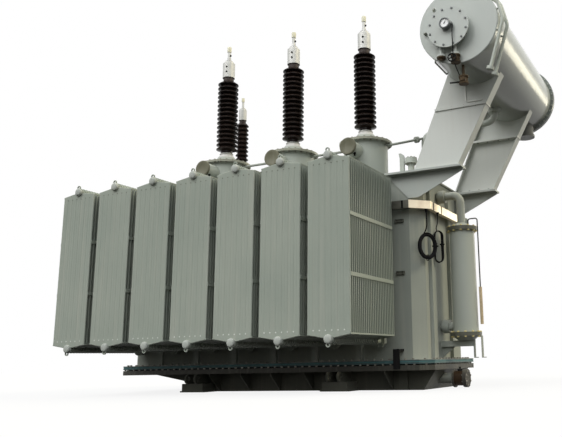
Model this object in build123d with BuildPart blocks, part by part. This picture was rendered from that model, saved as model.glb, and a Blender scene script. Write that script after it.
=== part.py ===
from build123d import *
import os
from math import cos, radians, sin, sqrt, tan

os.makedirs("parts", exist_ok=True)

# Driving dimensions in millimetres. X runs along the tank towards the conservator, -Y is the radiator
# side seen first, Z is up, and the origin is on the underside of the base, below the middle of the tank.

# Base, and the bolted joint between base and tank
PAN_HEIGHT = 232
PAN_WIDTH = 1240
PAN_LEFT_INSET = 360
PAN_RIGHT_OUT = 90
PAN_LEFT_RAKE = 680
PAN_RIGHT_RAKE = 160
PAN_KNEE_HEIGHT = 110
RIM_THICK = 60
NECK_HEIGHT = 16
FLANGE_THICK = 20
FLANGE_OUT = 130
GASKET_THICK = 8
GASKET_INSET = 4
FOOT_INSET = 190
FOOT_PITCH = 2130
FOOT_WIDTH = 340
FOOT_HEIGHT = 110
FOOT_REACH = 280
FOOT_SOLE_THICK = 18
FOOT_SOLE_LIP = 30
EAR_THICK = 28
EAR_PITCH = 150
EAR_HOLE_RADIUS = 30

# Tank and its stiffeners
TANK_LENGTH = 4480
TANK_WIDTH = 1500
TANK_CHAMFER = 140
COVER_RISE = 58
COVER_THICK = 25
COVER_LIP = 15
RIB_DEPTH = 44
RIB_WIDTH = 90
RIB_TOP_GAP = 40
END_RIB_WIDTH = 130
END_RIB_INSET = 320
END_RIB_PITCH = 690

# Radiators: as many banks as the flat of the wall takes
RAD_WIDTH = 520
RAD_GAP = 94.5
RAD_HEIGHT = 2000
RAD_LEFT_INSET = 260
RAD_RIGHT_LEAST = 500
RAD_PANELS = 25
PANEL_PITCH = 46
PANEL_THICK = 12
PANEL_SHOULDER_DROP = 45
LOBE_WIDTH = 8
HEADER_LOW_RISE = 246
HEADER_RADIUS = 44.5
HEADER_NECK_LENGTH = 122
HEADER_CAP_OUT = 34
HEADER_CAP_FILLET = 12
HEADER_FLANGE_RADIUS = 84
HEADER_FLANGE_THICK = 18
EYE_RADIUS = 26
EYE_HOLE_RADIUS = 14
EYE_THICK = 14
EYE_OUT = 8
BAR_HEIGHT = 42
BAR_THICK = 5
BAR_INSET = 628
STRIP_HEIGHT = 16
WELD_DEPTH = 1
VALVE_THICK = 66
VALVE_RADIUS = 82
NOZZLE_RADIUS = 46
NOZZLE_LENGTH = 46

# High-voltage turrets and bushings
HV_COUNT = 3
HV_PITCH = 1161
HV_END_INSET = 935
HV_OFFSET = 300
TURRET_RADIUS = 300
TURRET_HEIGHT = 590
TURRET_FOOT_LIP = 90
TURRET_HEAD_LIP = 62
TURRET_FLANGE_THICK = 30
CT_BOX_RADIUS = 98
CT_BOX_OUT = 245
CT_BOX_DROP = 176
CT_LID_LIP = 14
CT_LID_THICK = 22
ADAPTER_HEIGHT = 173
ADAPTER_FLANGE_RADIUS = 250
ADAPTER_FLANGE_THICK = 24
ADAPTER_NECK_RADIUS = 190
ADAPTER_COLLAR_LIP = 6
ADAPTER_COLLAR_HEIGHT = 20
PORCELAIN_HEIGHT = 1142
PORCELAIN_NECK_SHARE = 0.83
PORCELAIN_NECK_PITCHES = 0.6
SHED_COUNT = 16
SHED_RADIUS = 153
SHED_CORE_RADIUS = 104
CAP_HEIGHT = 316
CAP_RADIUS = 92
CAP_NECK_RADIUS = 78
CAP_NECK_HEIGHT = 70
CAP_BEVEL = 12
TERMINAL_HEIGHT = 265
TERMINAL_RADIUS = 24

# Neutral bushing
NEUTRAL_LEFT = 153
NEUTRAL_GAP = 40
NEUTRAL_TURRET_RADIUS = 170
NEUTRAL_TURRET_HEIGHT = 395
NEUTRAL_ADAPTER_HEIGHT = 170
NEUTRAL_FLANGE_RADIUS = 160
NEUTRAL_NECK_RADIUS = 128
NEUTRAL_COLLAR_LIP = 14
NEUTRAL_COLLAR_HEIGHT = 66
NEUTRAL_PORCELAIN_HEIGHT = 880
NEUTRAL_SHEDS = 12
NEUTRAL_SHED_RADIUS = 98
NEUTRAL_CORE_RADIUS = 66
NEUTRAL_CAP_HEIGHT = 235
NEUTRAL_CAP_RADIUS = 62
NEUTRAL_CAP_NECK_RADIUS = 52
NEUTRAL_CAP_NECK_HEIGHT = 52
NEUTRAL_TERMINAL_HEIGHT = 195
NEUTRAL_TERMINAL_RADIUS = 18

# Low-voltage bushings
LV_COUNT = 3
LV_PITCH = 250
LV_FROM_HV = 556
LV_GAP = 230
LV_FLANGE_RADIUS = 110
LV_FLANGE_THICK = 20
LV_PORCELAIN_HEIGHT = 305
LV_SHEDS = 4
LV_SHED_RADIUS = 82
LV_CORE_RADIUS = 56
LV_STUD_RADIUS = 24
LV_STUD_HEIGHT = 120

# Oil conservator
CONS_OUT = 850
CONS_RISE = 1425
CONS_RADIUS = 470
CONS_FRONT_OUT = 780
CONS_REAR_OUT = 610
CONS_WALL = 8
CONS_END_THICK = 14
CONS_END_FILLET = 10
CONS_FLANGE_LIP = 45
CONS_FLANGE_THICK = 32
MANHOLE_LEFT = 90
MANHOLE_DROP = 40
MANHOLE_NECK_RADIUS = 212
MANHOLE_NECK_LENGTH = 80
MANHOLE_DISC_RADIUS = 250
MANHOLE_DISC_THICK = 22
NOZZLE_LEFT_OFFSET = 111
NOZZLE_RIGHT_OFFSET = 61
NOZZLE_DROP = 338
NOZZLE_PIPE_RADIUS = 18
NOZZLE_FLANGE_RADIUS = 52
NOZZLE_FLANGE_THICK = 24
GAUGE_RADIUS = 64
GAUGE_DEPTH = 60
GAUGE_LEFT = 15
GAUGE_RISE = 17
SUMP_RADIUS = 118
SUMP_RIGHT = 90
SUMP_INSET = 160
SUMP_DROP = 142
SUMP_FLANGE_THICK = 34
SUMP_LIP = 14
RAIL_LENGTH = 420
RAIL_RADIUS = 9
RAIL_GAP = 24
RAIL_ANGLE = 232

# Conservator legs and the brackets that carry them
LEG_WEB = 14
LEG_FLANGE_WIDTH = 150
LEG_FLANGE_THICK = 14
LEG_PLATE_THICK = 14
LEG_PLATE_LIP = 15
LEG_FOOT_INSET = 15
LEG_FOOT_LENGTH = 570
LEG_JOINT_RISE = 723
LEG_TOP_BACK = 345
LEG_TOP_LENGTH = 730
LEG_TOP_DROP = 200
BRACKET_BACK = 411
BRACKET_REACH = 590
BRACKET_PLATE_THICK = 25
BRACKET_OUT = 110
BRACKET_DROP = 330

# Pipes
MAIN_PIPE_RADIUS = 44
MAIN_PIPE_Y = 170
MAIN_PIPE_INSET = 250
MAIN_PIPE_RISE = 745
MAIN_PIPE_SLOPE = 40
MAIN_PIPE_BACK = 78
MAIN_PIPE_BEND = 120
PIPE_FLANGE_LIP = 44
PIPE_FLANGE_THICK = 24
RELAY_OUT = 200
RELAY_LENGTH = 240
RELAY_WIDTH = 180
RELAY_HEIGHT = 190
GAS_PIPE_RADIUS = 17
GAS_PIPE_DROP = 65
GAS_PIPE_STUB = 60
GAS_PIPE_BEND = 60
GAS_JOINT_RADIUS = 44
GAS_JOINT_THICK = 44
VENT_PIPE_RADIUS = 20
VENT_PIPE_GAP = 18
VENT_INSET = 30
VENT_PITCH = 190
VENT_TAIL_LENGTH = 470
VENT_FIRST_ANGLE = -17.5
VENT_BEND_ANGLE = 31
VENT_BENDS = 3
VENT_BEND_RADIUS = 130
VENT_FLANGE_RADIUS = 44
VENT_FLANGE_THICK = 34
VENT_TIE_RADIUS = 12

# Oil filter on the end wall
FILTER_GAP = 123
FILTER_FROM_RIB = 330
FILTER_RADIUS = 160
FILTER_FLANGE_LIP = 37
FILTER_FLANGE_THICK = 24
FILTER_RISE = 289
FILTER_ELBOW_DROP = 210
FILTER_TOP_DROP = 430
FILTER_DOME_HEIGHT = 60
FILTER_FOOT_HEIGHT = 52
FILTER_FOOT_RADIUS = 100
FILTER_PIPE_RADIUS = 52
FILTER_PIPE_BEND = 104
FILTER_LOW_RISE = 127
FILTER_VALVE_GAP = 30
FILTER_VALVE_RADIUS = 84
FILTER_VALVE_LENGTH = 86
ARM_HEIGHT = 72
ARM_WIDTH = 90
ARM_GUSSET_LENGTH = 170
ARM_GUSSET_GAP = 15
ARM_GUSSET_THICK = 14
HANGER_WIDTH = 110
HANGER_DEPTH = 60
HANGER_HEIGHT = 262
HANGER_THICK = 10
HANGER_FOOT = 34
SIGHT_PIPE_RADIUS = 8
SIGHT_PIPE_IN = 70
SIGHT_PIPE_RISE = 45
SIGHT_PIPE_BEND = 30
SIGHT_SLEEVE_RADIUS = 20
SIGHT_SLEEVE_LENGTH = 460
SIGHT_SLEEVE_RISE = 140

# Drain valve on the end of the base
DRAIN_Y = -200
DRAIN_RISE = 120
DRAIN_PIPE_RADIUS = 62
DRAIN_PIPE_OUT = 84
DRAIN_FLANGE_RADIUS = 108
DRAIN_FLANGE_THICK = 22
DRAIN_BODY_RADIUS = 88
DRAIN_BODY_LENGTH = 110
DRAIN_BLIND_THICK = 46

# Cable trunking, and the black control cable that hangs from it
TRAY_DROP = 412
TRAY_HEIGHT = 100
TRAY_DEPTH = 60
TRAY_CLEARANCE = 6
TRAY_LEFT_INSET = 400
TRAY_REAR_INSET = 210
TRAY_BRACKET_WIDTH = 40
TRAY_BRACKET_HEIGHT = 60
TRAY_CORNER_INSET = 220
TRAY_END_FRONT = 190
TRAY_END_REAR = 270
CABLE_RADIUS = 9
COIL_ALONG = 100
COIL_OUT = 82
COIL_DROP = 462
COIL_WIDTH = 200
COIL_HEIGHT = 280
COIL_BUNDLE_RADIUS = 31
HANK_OUT = 100
HANK_INSET = 370
HANK_DROP = 435
HANK_WIDTH = 90
HANK_HEIGHT = 400
HANK_BUNDLE_RADIUS = 20

# Small fittings on the cover, the flange and under the conservator
RELIEF_END_INSET = 167
RELIEF_SIDE_INSET = 190
RELIEF_NECK_RADIUS = 42
RELIEF_NECK_HEIGHT = 142
RELIEF_FLANGE_RADIUS = 84
RELIEF_FLANGE_THICK = 32
RELIEF_COVER_RADIUS = 76
RELIEF_COVER_THICK = 44
HOOK_LEFT = 124
HOOK_WIDTH = 58
HOOK_HEIGHT = 295
HOOK_HORN = 42
HOOK_THICK = 34
CLAMP_INSET = 293
CLAMP_WIDTH = 78
CLAMP_DROP = 85
CLAMP_RISE = 144
CLAMP_THICK = 26
SMALL_VALVE_LENGTH = 100
SMALL_VALVE_RADIUS = 48
SMALL_PIPE_RADIUS = 16
DRAIN_COCK_RIGHT = 17
DRAIN_COCK_INSET = 80
DRAIN_COCK_DROP = 130

HALF_L = TANK_LENGTH / 2
HALF_W = TANK_WIDTH / 2
NECK_Z = PAN_HEIGHT + RIM_THICK
GASKET_Z = NECK_Z + NECK_HEIGHT + FLANGE_THICK
TANK_Z = GASKET_Z + GASKET_THICK
HEADER_LOW_Z = TANK_Z + HEADER_LOW_RISE
HEADER_HIGH_Z = HEADER_LOW_Z + RAD_HEIGHT
TANK_TOP = HEADER_HIGH_Z + COVER_RISE
COVER_TOP = TANK_TOP + COVER_THICK


def keep(builder, name):
    builder.part.label = name
    export_step(builder.part, "parts/" + name + ".step")


# Plan outline of the tank with its chamfered corners, grown outwards by the given amount
def outline(grow):
    end_x = HALF_L + grow
    side_y = HALF_W + grow
    return [
        (end_x - TANK_CHAMFER, -side_y),
        (end_x, TANK_CHAMFER - side_y),
        (end_x, side_y - TANK_CHAMFER),
        (end_x - TANK_CHAMFER, side_y),
        (TANK_CHAMFER - end_x, side_y),
        (-end_x, side_y - TANK_CHAMFER),
        (-end_x, TANK_CHAMFER - side_y),
        (TANK_CHAMFER - end_x, -side_y),
    ]


# Half plane through an upright axis, for profiles that are turned about it
def axis_plane(axis_x, axis_y):
    return Plane((axis_x, axis_y, 0), x_dir=(1, 0, 0), z_dir=(0, -1, 0))


def upright_axis(axis_x, axis_y):
    return Axis((axis_x, axis_y, 0), (0, 0, 1))


# The base pan stands on the ground: a closed deep tray with raked ends.
PAN_TOP_LEFT = PAN_LEFT_INSET - HALF_L
PAN_TOP_RIGHT = HALF_L + PAN_RIGHT_OUT
PAN_BOTTOM_LEFT = PAN_TOP_LEFT + PAN_LEFT_RAKE
PAN_BOTTOM_RIGHT = PAN_TOP_RIGHT - PAN_RIGHT_RAKE
with BuildPart() as base_pan:
    with BuildSketch(Plane.XZ.offset(-PAN_WIDTH / 2)):
        Polygon(
            (PAN_TOP_LEFT, PAN_HEIGHT),
            (PAN_BOTTOM_LEFT, PAN_KNEE_HEIGHT),
            (PAN_BOTTOM_LEFT, 0),
            (PAN_BOTTOM_RIGHT, 0),
            (PAN_TOP_RIGHT, PAN_HEIGHT),
            align=None,
        )
    extrude(amount=PAN_WIDTH)
keep(base_pan, "base_pan")

# Rim plate over the pan, with a short neck and the lower flange of the tank joint
with BuildPart() as base_rim:
    with BuildSketch(Plane.XY.offset(PAN_HEIGHT)):
        Polygon(*outline(FLANGE_OUT), align=None)
    extrude(amount=RIM_THICK)
    with BuildSketch(Plane.XY.offset(NECK_Z)):
        Polygon(*outline(0), align=None)
    extrude(amount=NECK_HEIGHT)
    with BuildSketch(Plane.XY.offset(NECK_Z + NECK_HEIGHT)):
        Polygon(*outline(FLANGE_OUT), align=None)
    extrude(amount=FLANGE_THICK)
keep(base_rim, "base_rim")

# Hauling feet: four outriggers, each with a sole plate and a pair of holed ears
EAR_HEIGHT = PAN_HEIGHT - FOOT_HEIGHT
FOOT_FIRST_X = PAN_BOTTOM_LEFT + FOOT_INSET
FOOT_MIDDLE_X = FOOT_FIRST_X + FOOT_PITCH / 2
FOOT_PITCH_Y = PAN_WIDTH + FOOT_REACH
EAR_XS = [FOOT_FIRST_X + foot * FOOT_PITCH + ear * EAR_PITCH / 2 for foot in (0, 1) for ear in (-1, 1)]
with BuildPart() as hauling_feet:
    with Locations((FOOT_MIDDLE_X, 0, FOOT_HEIGHT / 2)):
        with GridLocations(FOOT_PITCH, FOOT_PITCH_Y, 2, 2):
            Box(FOOT_WIDTH, FOOT_REACH, FOOT_HEIGHT)
    with Locations((FOOT_MIDDLE_X, 0, FOOT_SOLE_THICK / 2)):
        with GridLocations(FOOT_PITCH, FOOT_PITCH_Y, 2, 2):
            Box(FOOT_WIDTH + 2 * FOOT_SOLE_LIP, FOOT_REACH, FOOT_SOLE_THICK)
    for side in (-1, 1):
        ear_end = side * (PAN_WIDTH / 2 + FOOT_REACH)
        ear_middle = FOOT_HEIGHT + EAR_HEIGHT / 2
        with BuildSketch(*[Plane.YZ.offset(ear_x - EAR_THICK / 2) for ear_x in EAR_XS]):
            with Locations((ear_end - side * FOOT_REACH / 2, ear_middle)):
                Rectangle(FOOT_REACH, EAR_HEIGHT)
            with Locations((ear_end, ear_middle)):
                Circle(EAR_HEIGHT / 2)
                Circle(EAR_HOLE_RADIUS, mode=Mode.SUBTRACT)
        extrude(amount=EAR_THICK)
keep(hauling_feet, "hauling_feet")

with BuildPart() as flange_gasket:
    with BuildSketch(Plane.XY.offset(GASKET_Z)):
        Polygon(*outline(FLANGE_OUT - GASKET_INSET), align=None)
    extrude(amount=GASKET_THICK)
keep(flange_gasket, "flange_gasket")

# Bell tank: a closed chamfered body, and the flange ring welded round its foot
with BuildPart() as tank_body:
    with BuildSketch(Plane.XY.offset(TANK_Z)):
        Polygon(*outline(0), align=None)
    extrude(amount=TANK_TOP - TANK_Z)
keep(tank_body, "tank_body")

with BuildPart() as bell_flange:
    with BuildSketch(Plane.XY.offset(TANK_Z)):
        Polygon(*outline(FLANGE_OUT), align=None)
        Polygon(*outline(0), align=None, mode=Mode.SUBTRACT)
    extrude(amount=FLANGE_THICK)
keep(bell_flange, "bell_flange")

with BuildPart() as tank_cover:
    with BuildSketch(Plane.XY.offset(TANK_TOP)):
        Polygon(*outline(COVER_LIP), align=None)
    extrude(amount=COVER_THICK)
keep(tank_cover, "tank_cover")

# Places along the wall: header axes of the radiators, and the stiffeners halfway between them
RAD_PITCH = RAD_WIDTH + RAD_GAP
RAD_COUNT = int((TANK_LENGTH - RAD_LEFT_INSET - RAD_RIGHT_LEAST) / RAD_PITCH) + 1
RAD_FIRST_X = RAD_LEFT_INSET - HALF_L
RAD_MIDDLE_X = RAD_FIRST_X + (RAD_COUNT - 1) * RAD_PITCH / 2
RIB_XS = [RAD_FIRST_X + (number + 0.5) * RAD_PITCH for number in range(RAD_COUNT - 1)]
END_RIB_YS = [END_RIB_INSET - HALF_W, END_RIB_INSET + END_RIB_PITCH - HALF_W]
RIB_FOOT = TANK_Z + FLANGE_THICK
RIB_TOP = TANK_TOP - RIB_TOP_GAP


# Upright box stiffener seen from its edge: it stands on the flange and its top slopes back to the wall
def rib_profile(wall, side):
    face = wall + side * RIB_DEPTH
    return [(wall, RIB_FOOT), (face, RIB_FOOT), (face, RIB_TOP - RIB_DEPTH), (wall, RIB_TOP)]


with BuildPart() as tank_ribs:
    for side in (-1, 1):
        with BuildSketch(*[Plane.YZ.offset(rib_x - RIB_WIDTH / 2) for rib_x in RIB_XS]):
            Polygon(*rib_profile(side * HALF_W, side), align=None)
        extrude(amount=RIB_WIDTH)
        with BuildSketch(*[Plane.XZ.offset(-rib_y - END_RIB_WIDTH / 2) for rib_y in END_RIB_YS]):
            Polygon(*rib_profile(side * HALF_L, side), align=None)
        extrude(amount=END_RIB_WIDTH)
keep(tank_ribs, "tank_ribs")

# One radiator bank, drawn for the front at the middle of the tank: upright panels with gabled ends are
# threaded on two header pipes, and flat bars and strips are welded along both sides.
VALVE_INNER_Y = HALF_W + NOZZLE_LENGTH
VALVE_OUTER_Y = VALVE_INNER_Y + VALVE_THICK
PANEL_FIRST_Y = VALVE_OUTER_Y + HEADER_NECK_LENGTH
RAD_DEPTH = (RAD_PANELS - 1) * PANEL_PITCH + PANEL_THICK
RAD_FACE_Y = PANEL_FIRST_Y + RAD_DEPTH
PANEL_LOW = HEADER_LOW_Z + PANEL_SHOULDER_DROP
PANEL_HIGH = HEADER_HIGH_Z - PANEL_SHOULDER_DROP
HEADER_POINTS = [(0, HEADER_LOW_Z), (0, HEADER_HIGH_Z)]
EYE_REACH = HEADER_RADIUS + EYE_HOLE_RADIUS
SIDE_STRIPS = [
    (PANEL_LOW + STRIP_HEIGHT / 2, STRIP_HEIGHT),
    (PANEL_LOW + BAR_INSET, BAR_HEIGHT),
    (PANEL_HIGH - BAR_INSET, BAR_HEIGHT),
    (PANEL_HIGH - STRIP_HEIGHT / 2, STRIP_HEIGHT),
]
PANEL_PLANES = [Plane.XZ.offset(PANEL_FIRST_Y + number * PANEL_PITCH) for number in range(RAD_PANELS)]
with BuildPart() as bank:
    with BuildSketch(*PANEL_PLANES):
        Polygon(
            (-RAD_WIDTH / 2, PANEL_LOW),
            (0, HEADER_LOW_Z),
            (RAD_WIDTH / 2, PANEL_LOW),
            (RAD_WIDTH / 2, PANEL_HIGH),
            (0, HEADER_HIGH_Z),
            (-RAD_WIDTH / 2, PANEL_HIGH),
            align=None,
        )
        with Locations(*HEADER_POINTS):
            Circle(HEADER_RADIUS + LOBE_WIDTH)
    extrude(amount=PANEL_THICK)
    with BuildSketch(Plane.XZ.offset(VALVE_OUTER_Y)):
        with Locations(*HEADER_POINTS):
            Circle(HEADER_RADIUS)
    extrude(amount=RAD_FACE_Y + HEADER_CAP_OUT - VALVE_OUTER_Y)
    fillet(bank.edges().group_by(Axis.Y)[0], HEADER_CAP_FILLET)
    with BuildSketch(Plane.XZ.offset(VALVE_OUTER_Y)):
        with Locations(*HEADER_POINTS):
            Circle(HEADER_FLANGE_RADIUS)
    extrude(amount=HEADER_FLANGE_THICK)
    with BuildSketch(Plane.XZ.offset(RAD_FACE_Y + EYE_OUT)):
        with Locations((0, HEADER_LOW_Z - EYE_REACH), (0, HEADER_HIGH_Z + EYE_REACH)):
            Circle(EYE_RADIUS)
            Circle(EYE_HOLE_RADIUS, mode=Mode.SUBTRACT)
    extrude(amount=EYE_THICK)
    for strip_z, strip_height in SIDE_STRIPS:
        with Locations((0, -PANEL_FIRST_Y - RAD_DEPTH / 2, strip_z)):
            with GridLocations(RAD_WIDTH + BAR_THICK - 2 * WELD_DEPTH, 0, 2, 1):
                Box(BAR_THICK, RAD_DEPTH, strip_height)

# The same bank hangs on both sides, turned about for the rear
for number in range(RAD_COUNT):
    for side_name, turn in (("front", 0), ("rear", 180)):
        with BuildPart() as radiator:
            with Locations((RAD_FIRST_X + number * RAD_PITCH, 0, 0)):
                add(bank.part, rotation=(0, 0, turn))
        keep(radiator, "radiator_" + side_name + "_" + str(number + 1))

# Shut-off valves between the header flanges and the tank wall, each on its nozzle
with BuildPart() as radiator_valves:
    for side in (-1, 1):
        with BuildSketch(Plane.XZ.offset(-side * VALVE_INNER_Y)):
            with Locations((RAD_MIDDLE_X, (HEADER_LOW_Z + HEADER_HIGH_Z) / 2)):
                with GridLocations(RAD_PITCH, RAD_HEIGHT, RAD_COUNT, 2):
                    RegularPolygon(VALVE_RADIUS, 8, rotation=22.5)
        extrude(amount=-side * VALVE_THICK)
        with BuildSketch(Plane.XZ.offset(-side * HALF_W)):
            with Locations((RAD_MIDDLE_X, (HEADER_LOW_Z + HEADER_HIGH_Z) / 2)):
                with GridLocations(RAD_PITCH, RAD_HEIGHT, RAD_COUNT, 2):
                    Circle(NOZZLE_RADIUS)
        extrude(amount=-side * NOZZLE_LENGTH)
keep(radiator_valves, "radiator_valves")

# Places on the cover: line bushings in a row, the neutral behind the first, low voltage behind the others
HV_LAST_X = HALF_L - HV_END_INSET
HV_XS = [HV_LAST_X - (HV_COUNT - 1 - number) * HV_PITCH for number in range(HV_COUNT)]
HV_Y = -HV_OFFSET
TURRET_FOOT_RADIUS = TURRET_RADIUS + TURRET_FOOT_LIP
TURRET_HEAD_RADIUS = TURRET_RADIUS + TURRET_HEAD_LIP
NEUTRAL_X = HV_XS[0] - NEUTRAL_LEFT
NEUTRAL_Y = HV_Y + TURRET_FOOT_RADIUS + NEUTRAL_GAP + NEUTRAL_TURRET_RADIUS
LV_XS = [HV_XS[1] + LV_FROM_HV + number * LV_PITCH for number in range(LV_COUNT)]
LV_Y = HV_Y + TURRET_FOOT_RADIUS + LV_GAP + LV_FLANGE_RADIUS
HV_POINTS = [(bushing_x, HV_Y) for bushing_x in HV_XS]
LV_POINTS = [(bushing_x, LV_Y) for bushing_x in LV_XS]

# Heights of the bushings, stacked from the cover
TURRET_TOP = COVER_TOP + TURRET_HEIGHT
ADAPTER_TOP = TURRET_TOP + ADAPTER_HEIGHT
PORCELAIN_TOP = ADAPTER_TOP + PORCELAIN_HEIGHT
NEUTRAL_TURRET_TOP = COVER_TOP + NEUTRAL_TURRET_HEIGHT
NEUTRAL_ADAPTER_TOP = NEUTRAL_TURRET_TOP + NEUTRAL_ADAPTER_HEIGHT
NEUTRAL_PORCELAIN_TOP = NEUTRAL_ADAPTER_TOP + NEUTRAL_PORCELAIN_HEIGHT
LV_PORCELAIN_TOP = COVER_TOP + LV_FLANGE_THICK + LV_PORCELAIN_HEIGHT

# Turrets: bolted foot and head flanges, and a round terminal box with a lid on the front of each
CT_BOX_POINTS = [(bushing_x, TURRET_TOP - CT_BOX_DROP) for bushing_x in HV_XS]
CT_BOX_END = HV_OFFSET + TURRET_RADIUS + CT_BOX_OUT
with BuildPart() as turrets:
    with BuildSketch(Plane.XY.offset(COVER_TOP)):
        with Locations(*HV_POINTS):
            Circle(TURRET_RADIUS)
    extrude(amount=TURRET_HEIGHT)
    with BuildSketch(Plane.XY.offset(COVER_TOP)):
        with Locations(*HV_POINTS):
            Circle(TURRET_FOOT_RADIUS)
    extrude(amount=TURRET_FLANGE_THICK)
    with BuildSketch(Plane.XY.offset(TURRET_TOP - TURRET_FLANGE_THICK)):
        with Locations(*HV_POINTS):
            Circle(TURRET_HEAD_RADIUS)
    extrude(amount=TURRET_FLANGE_THICK)
    with BuildSketch(Plane.XZ.offset(HV_OFFSET)):
        with Locations(*CT_BOX_POINTS):
            Circle(CT_BOX_RADIUS)
    extrude(amount=TURRET_RADIUS + CT_BOX_OUT)
    with BuildSketch(Plane.XZ.offset(CT_BOX_END - CT_LID_THICK)):
        with Locations(*CT_BOX_POINTS):
            Circle(CT_BOX_RADIUS + CT_LID_LIP)
    extrude(amount=CT_LID_THICK)
    with BuildSketch(Plane.XY.offset(COVER_TOP)):
        with Locations((NEUTRAL_X, NEUTRAL_Y)):
            Circle(NEUTRAL_TURRET_RADIUS)
    extrude(amount=NEUTRAL_TURRET_HEIGHT)
keep(turrets, "turrets")


# Bushing foot as a half profile about the axis: flange, cone and collar
def foot_profile(low_z, height, flange_r, flange_t, neck_r, collar_r, collar_h):
    top_z = low_z + height
    return [
        (0, low_z),
        (flange_r, low_z),
        (flange_r, low_z + flange_t),
        (neck_r, low_z + flange_t),
        (collar_r, top_z - collar_h),
        (collar_r, top_z),
        (0, top_z),
    ]


# Porcelain half profile: a plain neck, then sheds that slope up to a rim and run back to the core above it
def shed_profile(low_z, height, sheds, shed_r, core_r):
    pitch = height / (sheds + PORCELAIN_NECK_PITCHES)
    neck_r = PORCELAIN_NECK_SHARE * core_r
    neck_top = low_z + PORCELAIN_NECK_PITCHES * pitch
    profile = [(0, low_z), (neck_r, low_z), (neck_r, neck_top)]
    for shed in range(sheds):
        shed_z = neck_top + shed * pitch
        profile.append((shed_r, shed_z + 0.30 * pitch))
        profile.append((shed_r, shed_z + 0.45 * pitch))
        profile.append((core_r, shed_z + pitch))
    return profile + [(0, low_z + height)]


# Metal head half profile: neck, bevelled drum and terminal stud
def cap_profile(low_z, height, neck_r, neck_h, cap_r, stud_r, stud_h):
    cap_top = low_z + height
    return [
        (0, low_z),
        (neck_r, low_z),
        (neck_r, low_z + neck_h),
        (cap_r, low_z + neck_h),
        (cap_r, cap_top - CAP_BEVEL),
        (cap_r - CAP_BEVEL, cap_top),
        (stud_r, cap_top),
        (stud_r, cap_top + stud_h),
        (0, cap_top + stud_h),
    ]


HV_FOOT = foot_profile(
    TURRET_TOP, ADAPTER_HEIGHT, ADAPTER_FLANGE_RADIUS, ADAPTER_FLANGE_THICK,
    ADAPTER_NECK_RADIUS, PORCELAIN_NECK_SHARE * SHED_CORE_RADIUS + ADAPTER_COLLAR_LIP, ADAPTER_COLLAR_HEIGHT,
)
NEUTRAL_FOOT = foot_profile(
    NEUTRAL_TURRET_TOP, NEUTRAL_ADAPTER_HEIGHT, NEUTRAL_FLANGE_RADIUS, ADAPTER_FLANGE_THICK,
    NEUTRAL_NECK_RADIUS, PORCELAIN_NECK_SHARE * NEUTRAL_CORE_RADIUS + NEUTRAL_COLLAR_LIP,
    NEUTRAL_COLLAR_HEIGHT,
)
with BuildPart() as bushing_feet:
    for bushing_x, bushing_y in HV_POINTS:
        with BuildSketch(axis_plane(bushing_x, bushing_y)):
            Polygon(*HV_FOOT, align=None)
        revolve(axis=upright_axis(bushing_x, bushing_y))
    with BuildSketch(axis_plane(NEUTRAL_X, NEUTRAL_Y)):
        Polygon(*NEUTRAL_FOOT, align=None)
    revolve(axis=upright_axis(NEUTRAL_X, NEUTRAL_Y))
keep(bushing_feet, "bushing_feet")

HV_SHEDS = shed_profile(ADAPTER_TOP, PORCELAIN_HEIGHT, SHED_COUNT, SHED_RADIUS, SHED_CORE_RADIUS)
NEUTRAL_SHED_LINE = shed_profile(
    NEUTRAL_ADAPTER_TOP, NEUTRAL_PORCELAIN_HEIGHT, NEUTRAL_SHEDS, NEUTRAL_SHED_RADIUS, NEUTRAL_CORE_RADIUS
)
with BuildPart() as bushing_porcelain:
    for bushing_x, bushing_y in HV_POINTS:
        with BuildSketch(axis_plane(bushing_x, bushing_y)):
            Polygon(*HV_SHEDS, align=None)
        revolve(axis=upright_axis(bushing_x, bushing_y))
    with BuildSketch(axis_plane(NEUTRAL_X, NEUTRAL_Y)):
        Polygon(*NEUTRAL_SHED_LINE, align=None)
    revolve(axis=upright_axis(NEUTRAL_X, NEUTRAL_Y))
keep(bushing_porcelain, "bushing_porcelain")

HV_CAP = cap_profile(
    PORCELAIN_TOP, CAP_HEIGHT, CAP_NECK_RADIUS, CAP_NECK_HEIGHT, CAP_RADIUS, TERMINAL_RADIUS, TERMINAL_HEIGHT
)
NEUTRAL_CAP = cap_profile(
    NEUTRAL_PORCELAIN_TOP, NEUTRAL_CAP_HEIGHT, NEUTRAL_CAP_NECK_RADIUS, NEUTRAL_CAP_NECK_HEIGHT,
    NEUTRAL_CAP_RADIUS, NEUTRAL_TERMINAL_RADIUS, NEUTRAL_TERMINAL_HEIGHT,
)
with BuildPart() as bushing_caps:
    for bushing_x, bushing_y in HV_POINTS:
        with BuildSketch(axis_plane(bushing_x, bushing_y)):
            Polygon(*HV_CAP, align=None)
        revolve(axis=upright_axis(bushing_x, bushing_y))
    with BuildSketch(axis_plane(NEUTRAL_X, NEUTRAL_Y)):
        Polygon(*NEUTRAL_CAP, align=None)
    revolve(axis=upright_axis(NEUTRAL_X, NEUTRAL_Y))
keep(bushing_caps, "bushing_caps")

# Low-voltage bushings behind the turrets
LV_SHED_LINE = shed_profile(
    COVER_TOP + LV_FLANGE_THICK, LV_PORCELAIN_HEIGHT, LV_SHEDS, LV_SHED_RADIUS, LV_CORE_RADIUS
)
with BuildPart() as lv_porcelain:
    for bushing_x, bushing_y in LV_POINTS:
        with BuildSketch(axis_plane(bushing_x, bushing_y)):
            Polygon(*LV_SHED_LINE, align=None)
        revolve(axis=upright_axis(bushing_x, bushing_y))
keep(lv_porcelain, "lv_porcelain")

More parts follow.
